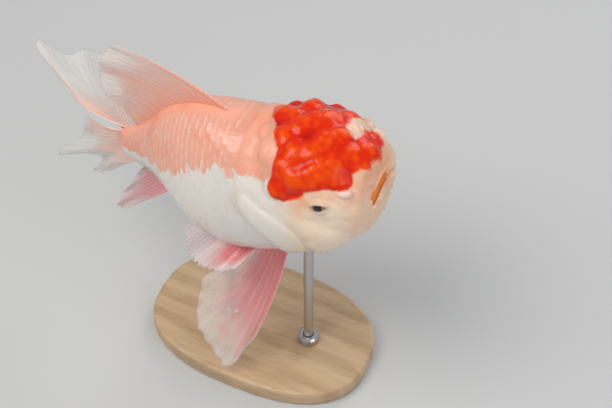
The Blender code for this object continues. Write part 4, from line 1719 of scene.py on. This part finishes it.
@dataclass
class Fin:
    """One fin: a fan of branching rays with a thin skin between them."""

    node: str
    kind: FinKind
    roots: Sequence[Point]
    tips: Sequence[Point]
    bow: Point
    rays: int
    swell: Pair = (0.9, 2.6)
    swell_along: float = 0.04
    side: int = 1
    root_side: int = 1
    notch: float = 0.02
    ruffle: float = 0.9
    ruffles: float = 2.5
    ruffle_start: float = 0.5
    leading_radius: float = 0.60
    ray_radius: float = 0.27
    ray_sides: int = 6
    ray_end: float = 0.992
    tip_radius: float = 0.08
    skin_thick: Pair = (0.60, 0.20)
    forks: Pair = (0.42, 0.70)
    fork_spread: Pair = (0.17, 0.09)
    thinning: Point = (1.0, 0.8, 0.6)
    frame: FishFrame = FishFrame()
    rows: int = 34
    columns_per_ray: int = 6
    seed: int = 1

    def on(self, where: Side, **changes: Any) -> "Fin":
        """The same fin on one side of the fish, with what differs there."""
        own = {"node": f"{self.node}_{where.word}", "side": where.value, "root_side": where.value}
        return replace(self, **{**own, **changes})

    def through(self, places: Sequence[Point], share: Array, side: int) -> Array:
        """Points on a smooth line through evenly spread places.

        Args:
            places: Distances behind the mouth, to the left and up.
            share: How far along the line, 0 to 1.
            side: 1, or -1 to mirror the line to the other side.

        Returns:
            The points, in a last axis of three.
        """
        spread = np.linspace(0, 1, len(places))
        back, left, up = (Curve(*zip(spread, column))(share) for column in zip(*places))
        return np.stack((-back, side * left, up), axis=-1)

    def flat(self, along: Array, share: Array) -> Array:
        """Points of the fin's middle sheet, before its ruffles.

        Args:
            along: The way out along a ray, 0 at its root and 1 at its tip.
            share: The way across the fan, 0 on the leading ray and 1 on the last.

        Returns:
            The points, in a last axis of three.
        """
        root = self.through(self.roots, share, self.side * self.root_side)
        tip = self.through(self.tips, share, self.side)
        bend = np.array(self.bow) * (1, self.side, 1)
        return root + (tip - root) * along[..., None] + bend * np.sin(np.pi * along)[..., None]

    def outward(self, along: Array, share: Array) -> Array:
        """The sheet's normal.

        Args:
            along: The way out along a ray.
            share: The way across the fan.

        Returns:
            Unit vectors, in a last axis of three.
        """
        step, wide = 0.01, np.maximum(along, 0.1)
        out = self.flat(along + step, share) - self.flat(along - step, share)
        across = self.flat(wide, np.minimum(share + step, 1)) - self.flat(wide, np.maximum(share - step, 0))
        return unit(np.cross(out, across))

    def sheet(self, along: Array, share: Array, lift: Number = 0.0) -> Array:
        """Points of the ruffled sheet.

        Args:
            along: The way out along a ray.
            share: The way across the fan.
            lift: The height over the sheet.

        Returns:
            The points, in a last axis of three.
        """
        grow = np.clip((along - self.ruffle_start) / (1 - self.ruffle_start), 0, 1) ** 1.4
        phase, turns = 0.7 * self.seed, 2 * np.pi * self.ruffles * share
        wave = np.sin(turns + phase) * ramp(0, 0.12, share)
        slow = 0.5 * np.sin(0.5 * turns + 2.1 * phase + 2.0 * along)
        height = self.ruffle * grow * (wave + slow) + lift
        return self.flat(along, share) + self.outward(along, share) * height[..., None]

    def reach(self, share: Array) -> Array:
        """How far out the skin goes, drawn in between the rays.

        Args:
            share: The way across the fan.

        Returns:
            The reach, 1 at the tips.
        """
        between = 1 - np.abs(np.sin(np.pi * self.rays * share))
        uneven = 0.5 + 0.5 * np.sin(share * 41.0 + self.seed) * np.sin(share * 17.0 + 2 * self.seed)
        return 1 - self.notch * between * (0.5 + uneven)

    def skin(self) -> Object:
        """Makes the thin skin, thicker over each ray.

        Returns:
            The skin's object, which the rays are joined to.
        """
        columns = self.rays * self.columns_per_ray
        share, row = np.meshgrid(np.linspace(0, 1, columns + 1), np.linspace(0, 1, self.rows + 1))
        along = row * self.reach(share)
        root_thick, tip_thick = self.skin_thick
        over_ray = np.abs(np.sin(np.pi * self.rays * share)) ** 6
        half = (root_thick + (tip_thick - root_thick) * np.clip(along * 1.6, 0, 1)) * (0.38 + 0.12 * over_ray)
        sheets = (self.sheet(along, share, sign * half) for sign in (1, -1))
        points = [self.frame.to_world(sheet).reshape(-1, 3) for sheet in sheets]
        wide, count = columns + 1, share.size
        faces = []
        for a in (i * wide + j for i in range(self.rows) for j in range(columns)):
            faces.append((a, a + 1, a + wide + 1, a + wide))
            faces.append((a + count, a + wide + count, a + wide + 1 + count, a + 1 + count))
        rim = rim_of(self.rows, columns)
        faces += [(b, a, a + count, b + count) for a, b in zip(rim, rim[1:] + rim[:1])]
        mesh = mesh_from(self.node, np.concatenate(points), faces=faces)
        shape = bmesh.new()
        shape.from_mesh(mesh)
        bpy.data.meshes.remove(mesh)
        bmesh.ops.recalc_face_normals(shape, faces=shape.faces)
        made = finished(shape, f"{self.node}_dressed")
        for name, values in (("along", along), ("share", share), ("ray", over_ray)):
            store(made.data, name, np.tile(values.ravel(), 2))
        return made

    def ray_paths(self) -> Object:
        """Lays the rays' middle lines, which fork twice on their way out.

        Returns:
            A helper object of edges, with each point's radius.
        """
        points, radii, alongs, shares, edges = [], [], [], [], []
        first, second = self.forks
        fork_spread, twig_spread = self.fork_spread
        gap = 1 / self.rays

        def run(start: float, end: float, path: Callable[[float], float], steps: int, thin: float) -> None:
            """Adds one stretch of a ray, whose path gives its place across the fan."""
            for i in range(steps + 1):
                along = start + (end - start) * i / steps
                share = min(max(path(along), 0.004), 0.996)
                lead = max(0.0, 1 - share / (1.6 * gap))
                girth = self.ray_radius + (self.leading_radius - self.ray_radius) * lead
                if i:
                    edges.append((len(points) - 1, len(points)))
                points.append(self.sheet(np.array(along), np.array(share)))
                radii.append((girth * thin * (1 - along) + self.tip_radius) * MM)
                alongs.append(along)
                shares.append(share)

        run(0.0, self.ray_end, lambda along: 0.125 * gap, 22, self.thinning[0])
        for centre in ((index + 0.5) * gap for index in range(1, self.rays)):
            run(0.0, first, lambda along: centre, 9, self.thinning[0])
            for way in (-fork_spread * gap, fork_spread * gap):

                def fork(along: float) -> float:
                    """The place across the fan of one of the first two branches."""
                    return centre + way * float(ramp(first, second + 0.1, np.array(along)))

                run(first, second, fork, 6, self.thinning[1])
                for turn in (-twig_spread * gap, twig_spread * gap):

                    def twig(along: float) -> float:
                        """The place across the fan of one of a branch's two twigs."""
                        return fork(along) + turn * float(ramp(second, 1.0, np.array(along)))

                    run(second, self.ray_end, twig, 6, self.thinning[2])
        mesh = mesh_from("ray_paths", self.frame.to_world(np.array(points)), edges)
        for name, values in (("girth", radii), ("along", alongs), ("share", shares)):
            store(mesh, name, np.array(values))
        return new_object("ray_paths", mesh)

    def build(self, skin_finish: Material, ray_finish: Material) -> Object:
        """Makes the whole fin.

        Args:
            skin_finish: The finish of the skin between the rays.
            ray_finish: The finish of the rays.

        Returns:
            The fin as one mesh.
        """
        paths = self.ray_paths()
        values = {"Ray Paths": paths, "Ray Sides": self.ray_sides}
        values |= {"Skin Finish": skin_finish, "Ray Finish": ray_finish}
        fin = bake_nodes(self.skin(), shared(grow_rays), values)
        bpy.data.objects.remove(paths)
        return fin


# ---- eyes


@dataclass
class Eye:
    """One eyeball with a slightly domed front, its axis square to the side of the head."""

    side: Side
    axis: Point = (0.22, 0.93, 0.30)
    frame: FishFrame = FishFrame()
    segments: int = 56
    rows: int = 40
    fit: float = 0.985
    cornea: float = 0.05
    cornea_angle: float = 0.55

    def build(self, material: Material) -> Object:
        """Makes the eyeball in the place of its solid.

        Args:
            material: The eye's finish.

        Returns:
            The eyeball.
        """
        low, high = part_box(f"eye_{self.side.word}")
        centre, radius = (low + high) / 2, (high - low).length / 2 / math.sqrt(3)
        direction = self.frame.turn @ (np.array(self.axis) * (1, self.side.value, 1))
        turn = Vector(direction).to_track_quat("Z", "Y").to_matrix()
        shape = bmesh.new()
        bmesh.ops.create_uvsphere(shape, u_segments=self.segments, v_segments=self.rows, radius=1.0)
        polar, spoke = (shape.verts.layers.float.new(name) for name in ("polar", "spoke"))
        for vertex in shape.verts:
            tilt = math.acos(max(-1.0, min(1.0, vertex.co.z)))
            vertex[polar] = tilt
            vertex[spoke] = abs(math.atan2(vertex.co.y, vertex.co.x))
            swell = 1 + self.cornea * math.exp(-((tilt / self.cornea_angle) ** 2))
            vertex.co = centre + turn @ (vertex.co * radius * self.fit * swell)
        return finished(shape, f"eyeball_{self.side.word}", material)


# ---- stand and studio


@dataclass
class Stand:
    """The display stand: the frame's own base, rods and ferrules, with a soft cup at the top of each rod."""

    oak: Finish
    steel: Finish
    cup: Finish
    rods: tuple[str, ...] = ("front", "rear")
    cup_height: float = 2.6
    cup_wall: float = 1.0
    cup_bevel: float = 0.15
    cup_gap: float = 0.02
    cup_sides: int = 40
    probe_rise: float = 0.03

    def dress(self, nodes: dict[str, Object], skin: Object) -> list[Object]:
        """Gives the solids their finishes and adds the cups.

        Args:
            nodes: The frame's nodes by name.
            skin: The fish's skin, which the cups meet.

        Returns:
            The two cups.
        """
        oak, steel, rubber = self.oak.build(), self.steel.build(), self.cup.build()
        for name, node in nodes.items():
            if name.startswith("stand_"):
                node.data.materials.clear()
                node.data.materials.append(oak if name == "stand_base" else steel)
        surface = BVHTree.FromObject(skin, bpy.context.evaluated_depsgraph_get())
        return [self.make_cup(word, surface, rubber) for word in self.rods]

    def make_cup(self, word: str, surface: BVHTree, material: Material) -> Object:
        """A ring of soft rubber round a rod's top that follows the belly.

        Args:
            word: Which rod.
            surface: The skin.
            material: The cup's finish.

        Returns:
            The cup.
        """
        low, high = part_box(f"stand_rod_{word}")
        centre, radius = (low + high) / 2, (high.x - low.x) / 2
        inner, outer = radius + self.cup_gap * MM, radius + self.cup_wall * MM
        bevel, height = self.cup_bevel * MM, self.cup_height * MM
        drops = (-bevel, -bevel, 0.55 * height, 0.85 * height, height)
        profile = tuple(zip((inner, outer, outer, outer - bevel, inner), drops))
        shape = bmesh.new()
        rings = []
        for i in range(self.cup_sides):
            angle = 2 * math.pi * i / self.cup_sides
            rings.append([])
            for reach, drop in profile:
                x, y = centre.x + reach * math.cos(angle), centre.y + reach * math.sin(angle)
                hit = surface.ray_cast(Vector((x, y, low.z + self.probe_rise)), Vector((0, 0, 1)))[0]
                rings[-1].append(shape.verts.new((x, y, (hit.z if hit else high.z) - drop)))
        for here, there in zip(rings, rings[1:] + rings[:1]):
            for j, k in zip(range(len(profile)), (*range(1, len(profile)), 0)):
                shape.faces.new((here[j], there[j], there[k], here[k]))
        bmesh.ops.recalc_face_normals(shape, faces=shape.faces)
        return finished(shape, f"stand_cup_{word}", material)


@dataclass(frozen=True)
class SoftLight:
    """One softbox."""

    name: str
    place: Point
    size: float
    power: float
    tint: Colour = (1.0, 1.0, 1.0)


@dataclass
class Studio:
    """The pale floor, the softboxes, the even sky and the camera."""

    floor: Finish
    floor_half: float = 3.0
    floor_cells: int = 12
    floor_drop: float = 0.00002
    target: Point = (0.0, 0.0, 0.09)
    sky: float = 0.40
    sky_tint: Colour = (0.93, 0.96, 1.0)
    camera_place: Point = (0.1729, -0.3261, 0.5275)
    camera_azimuth: float = 25.0
    camera_elevation: float = 50.0
    lens: float = 85.0
    sensor: float = 36.0
    nearest: float = 0.01
    lights: tuple[SoftLight, ...] = (
        SoftLight("key_softbox", (-0.25, -0.35, 0.85), 0.55, 4.2, (1.0, 0.98, 0.95)),
        SoftLight("fill_softbox", (0.75, -0.25, 0.45), 0.7, 1.8, (0.95, 0.97, 1.0)),
        SoftLight("rim_softbox", (0.1, 0.85, 0.6), 0.6, 2.4),
    )

    def build(self) -> None:
        """Sets up the ground, the light and the camera."""
        bpy.context.scene.view_settings.view_transform = "Standard"
        self.make_floor()
        world = bpy.data.worlds.new("studio")
        world.use_nodes = True
        ground = world.node_tree.nodes.get("Background") or world.node_tree.nodes.new("ShaderNodeBackground")
        ground.inputs[0].default_value = (*self.sky_tint, 1)
        ground.inputs[1].default_value = self.sky
        bpy.context.scene.world = world
        for light in self.lights:
            data = bpy.data.lights.new(light.name, "AREA")
            data.shape, data.size, data.energy, data.color = "DISK", light.size, light.power, light.tint
            self.hang(data, light.place, Vector(light.place) - Vector(self.target))
        self.add_camera()

    def make_floor(self) -> None:
        """A broad floor that reaches past every view's edge."""
        shape = bmesh.new()
        cells = self.floor_cells
        bmesh.ops.create_grid(shape, x_segments=cells, y_segments=cells, size=self.floor_half)
        floor = finished(shape, "floor", self.floor.build(), smooth=False)
        floor.data.transform(Matrix.Translation((0, 0, -self.floor_drop)))

    def hang(self, data: Any, place: Point, away: Vector) -> Object:
        """Hangs a lamp or a camera at a place, looking back along a direction.

        Args:
            data: The lamp or the camera.
            place: Where it hangs.
            away: The direction from what it looks at.

        Returns:
            Its object.
        """
        made = new_object(data.name, data)
        made.location = place
        made.rotation_euler = away.to_track_quat("Z", "Y").to_euler()
        return made

    def add_camera(self) -> None:
        """The camera, looking down on the fish's right side."""
        azimuth, elevation = math.radians(self.camera_azimuth), math.radians(self.camera_elevation)
        level = math.cos(elevation)
        away = Vector((math.sin(azimuth) * level, -math.cos(azimuth) * level, math.sin(elevation)))
        data = bpy.data.cameras.new("camera")
        data.lens, data.sensor_width, data.clip_start = self.lens, self.sensor, self.nearest
        bpy.context.scene.camera = self.hang(data, self.camera_place, away)


# ---- the whole fish


@dataclass
class Goldfish:
    """The whole fish: skin, scales, eyes and fins."""

    frame: FishFrame = FishFrame()
    shape: BodyShape = BodyShape()
    growth: HeadGrowth = HeadGrowth()
    plain_nodes: tuple[str, ...] = ("head", "hood_crown", "lip_upper", "lip_lower", "trunk", "tail_stem")
    paired_nodes: tuple[str, ...] = ("cheek", "gill_cover", "nostril_flap")

    def skin(self) -> Skin:
        """The skin, with a slight swelling at each fin's root."""
        share = np.linspace(0, 1, 9)
        swells = [(fin.flat(np.full_like(share, fin.swell_along), share), *fin.swell) for fin in self.fins()]
        return Skin(self.frame, self.shape, self.growth, root_swells=swells)

    def fins(self) -> list[Fin]:
        """All fins, whose places are distances behind the mouth, to the left and up.

        Returns:
            The fins.
        """
        dorsal = Fin(
            "dorsal_fin",
            FinKind.DORSAL,
            ((54, 0, 26.5), (67, 0, 27.5), (79, 0, 25), (91, 0, 17), (103, 0, 9.8)),
            ((100.5, 0, 54.2), (107.5, -0.5, 48), (112, -1, 39), (112.5, -0.5, 28), (109, 0, 17)),
            (0, 0, 3.3),
            rays=15, leading_radius=0.85, ruffle=0.8, seed=4,
        )
        pectoral = Fin(
            "pectoral_fin",
            FinKind.PECTORAL,
            ((38, 20.5, -21), (39.5, 21, -19), (41, 21.5, -17), (43, 22.5, -15), (44.5, 22.8, -13.5)),
            ((57, 26, -32), (66.5, 28.5, -33), (73, 30, -28), (75, 29.5, -20), (73, 28, -11)),
            (0, 2.5, 0),
            rays=15, swell=(1.1, 2.6), ruffle=0.6,
        )
        pelvic = Fin(
            "pelvic_fin",
            FinKind.PELVIC,
            ((46.5, 7.5, -30.5), (48.5, 7.8, -31.2), (50.5, 8, -31.6), (52.5, 8, -32), (54.5, 8, -32.2)),
            ((63, 21, -80.5), (76.5, 30.5, -94.5), (85, 28, -84), (89.5, 21, -71), (85.5, 14, -57)),
            (3.5, 3, 0),
            rays=9, ruffle=1.1, columns_per_ray=8,
        )
        folded_tips = ((76, 14, -70), (92, 20, -80), (100, 19, -72), (101, 15, -60), (93, 11, -48))
        anal = Fin(
            "anal_fin",
            FinKind.ANAL,
            ((88, 3.2, -17), (91, 3, -14), (94.5, 2.8, -11.5), (98, 2.5, -9)),
            ((119, 6.3, -32), (124, 7.5, -31.5), (119.5, 7, -24), (111.5, 5, -15)),
            (0, 1, 0),
            rays=8, swell=(0.6, 2.0), ruffle=0.6, columns_per_ray=7,
        )
        tail = Fin(
            "tail_fin",
            FinKind.TAIL,
            (
                *((106, 0.75, 8), (108, 0.9, 5.5), (109, 1, 2.5)),
                *((109, 1.1, -0.5), (108, 1.2, -3.5), (106.5, 1.3, -5.8)),
            ),
            ((143, 10, 12), (174, 33, 15.5), (161.5, 38, 9), (161, 51, 0), (149, 53, -10), (131, 39, -19)),
            (0, -4, 2),
            rays=19, swell=(0.5, 1.8), ruffle=1.2, ruffles=3.5, rows=44,
        )
        swept_tips = (
            *((133.5, 5, 7), (148, 9.5, -13), (165.5, 13, -29.5)),
            *((138.5, 9.7, -21.5), (149, 11, -33.5), (122, 7, -19)),
        )
        return [
            dorsal,
            pectoral.on(Side.LEFT, seed=8),
            pelvic.on(Side.LEFT, seed=3, tips=folded_tips),
            anal.on(Side.LEFT, seed=6),
            pectoral.on(Side.RIGHT, seed=7),
            pelvic.on(Side.RIGHT, seed=2),
            anal.on(Side.RIGHT, seed=5),
            tail.on(Side.LEFT, seed=9),
            tail.on(Side.RIGHT, seed=10, side=1, tips=swept_tips, bow=(0, -3, 1.5)),
        ]

    def fin_finishes(self) -> dict[FinKind, tuple[Material, Material]]:
        """The finishes of every kind of fin.

        Returns:
            The skin's and the rays', by kind.
        """
        looks = {
            FinKind.DORSAL: (
                FinFinish(
                    "dorsal_skin", middle=(0.88, 0.60, 0.53), root_opacity=0.96, margin_opacity=0.5,
                    streak_share=0.6, main_width=0.10,
                ),
                RayFinish("dorsal_rays", root=(0.93, 0.38, 0.26), tip=(0.92, 0.70, 0.60), tip_opacity=0.4),
            ),
            FinKind.TAIL: (
                FinFinish(
                    "tail_skin", root=(0.92, 0.42, 0.30), middle=(0.93, 0.67, 0.57),
                    margin=(0.92, 0.89, 0.85), leading=(0.93, 0.46, 0.30),
                    root_opacity=1.0, margin_opacity=0.46, colour_reach=(0.06, 0.6),
                    streaks=5.0, streak_seed=0.3, main_streak=0.08,
                ),
                RayFinish(
                    "tail_rays", root=(0.92, 0.44, 0.32), tip=(0.93, 0.88, 0.84), tip_opacity=0.35,
                    colour_reach=(0.06, 0.55),
                ),
            ),
            FinKind.PECTORAL: (
                FinFinish(
                    "pectoral_skin", root=(0.83, 0.10, 0.12), middle=(0.88, 0.36, 0.35),
                    margin=(0.92, 0.80, 0.78), leading=(0.86, 0.13, 0.09), margin_opacity=0.5,
                    clear_from=0.7, streak_share=0.9, main_streak=0.22, main_width=0.32,
                ),
                RayFinish("pectoral_rays", root=(0.87, 0.20, 0.14), tip=(0.93, 0.68, 0.62), tip_opacity=0.4),
            ),
            FinKind.PELVIC: (
                FinFinish(
                    "pelvic_skin", root=(0.85, 0.23, 0.23), middle=(0.89, 0.46, 0.44),
                    margin=(0.92, 0.87, 0.85), root_opacity=0.85, margin_opacity=0.3, colour_reach=(0.1, 1.0),
                    clear_from=0.75, streak_share=0.8, streak_seed=0.6, main_streak=0.1, main_width=0.22,
                ),
                RayFinish("pelvic_rays", root=(0.89, 0.34, 0.29), tip_opacity=0.35),
            ),
            FinKind.ANAL: (
                FinFinish(
                    "anal_skin", root=(0.88, 0.34, 0.34), middle=(0.89, 0.40, 0.41),
                    margin=(0.92, 0.74, 0.73), margin_opacity=0.6,
                ),
                RayFinish("anal_rays", root=(0.88, 0.30, 0.30), tip=(0.92, 0.62, 0.62), tip_opacity=0.45),
            ),
        }
        return {kind: (skin.build(), rays.build()) for kind, (skin, rays) in looks.items()}

    def build(self) -> Object:
        """Makes every piece of the fish and lets it stand for its solids.

        Returns:
            The skin, which the stand's cups meet.
        """
        plan = self.skin()
        skin = plan.build()
        skin.data.materials.append(SkinFinish("wet_skin").build())
        paired = (f"{name}_{side.word}" for name in self.paired_nodes for side in Side)
        keep(skin, "salmon_skin", *self.plain_nodes, *paired)
        pearl = ScaleFinish("pearly_scales").build()
        keep(ScaleCoat(self.frame, self.shape, plan).build(pearl), "salmon_skin")
        wet = EyeFinish("wet_eye").build()
        for side in Side:
            keep(Eye(side, frame=self.frame).build(wet), "dark_eye", f"eye_{side.word}")
        finishes = self.fin_finishes()
        for fin in self.fins():
            keep(fin.build(*finishes[fin.kind]), "pink_fin", fin.node)
        return skin


def keep(piece: Object, slot: str, *nodes: str) -> None:
    """Hands a finished piece to the frame.

    Args:
        piece: The piece.
        slot: The name of a material slot; not used.
        *nodes: The solids it stands for.
    """
    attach(piece, BODY)
    if nodes:
        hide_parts(*nodes)
    faces, solids = len(piece.data.polygons), ", ".join(nodes) or "no solid"
    log.info("%s: %d faces, stands for %s", piece.name, faces, solids)


def main() -> None:
    """Builds the fish, its stand and the studio in order."""
    logging.basicConfig(level=logging.INFO, format="%(name)s: %(message)s", force=True)
    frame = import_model()
    skin = Goldfish().build()
    rubber = PaleFinish("cup_rubber", coat=0.2, tone=(0.30, 0.31, 0.32))
    stand = Stand(OakFinish("oiled_oak"), SteelFinish("brushed_steel"), rubber)
    for cup in stand.dress(frame["nodes"], skin):
        keep(cup, "brushed_steel")
    Studio(PaleFinish("pale_ground")).build()
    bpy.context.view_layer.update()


if __name__ == "__main__":
    main()
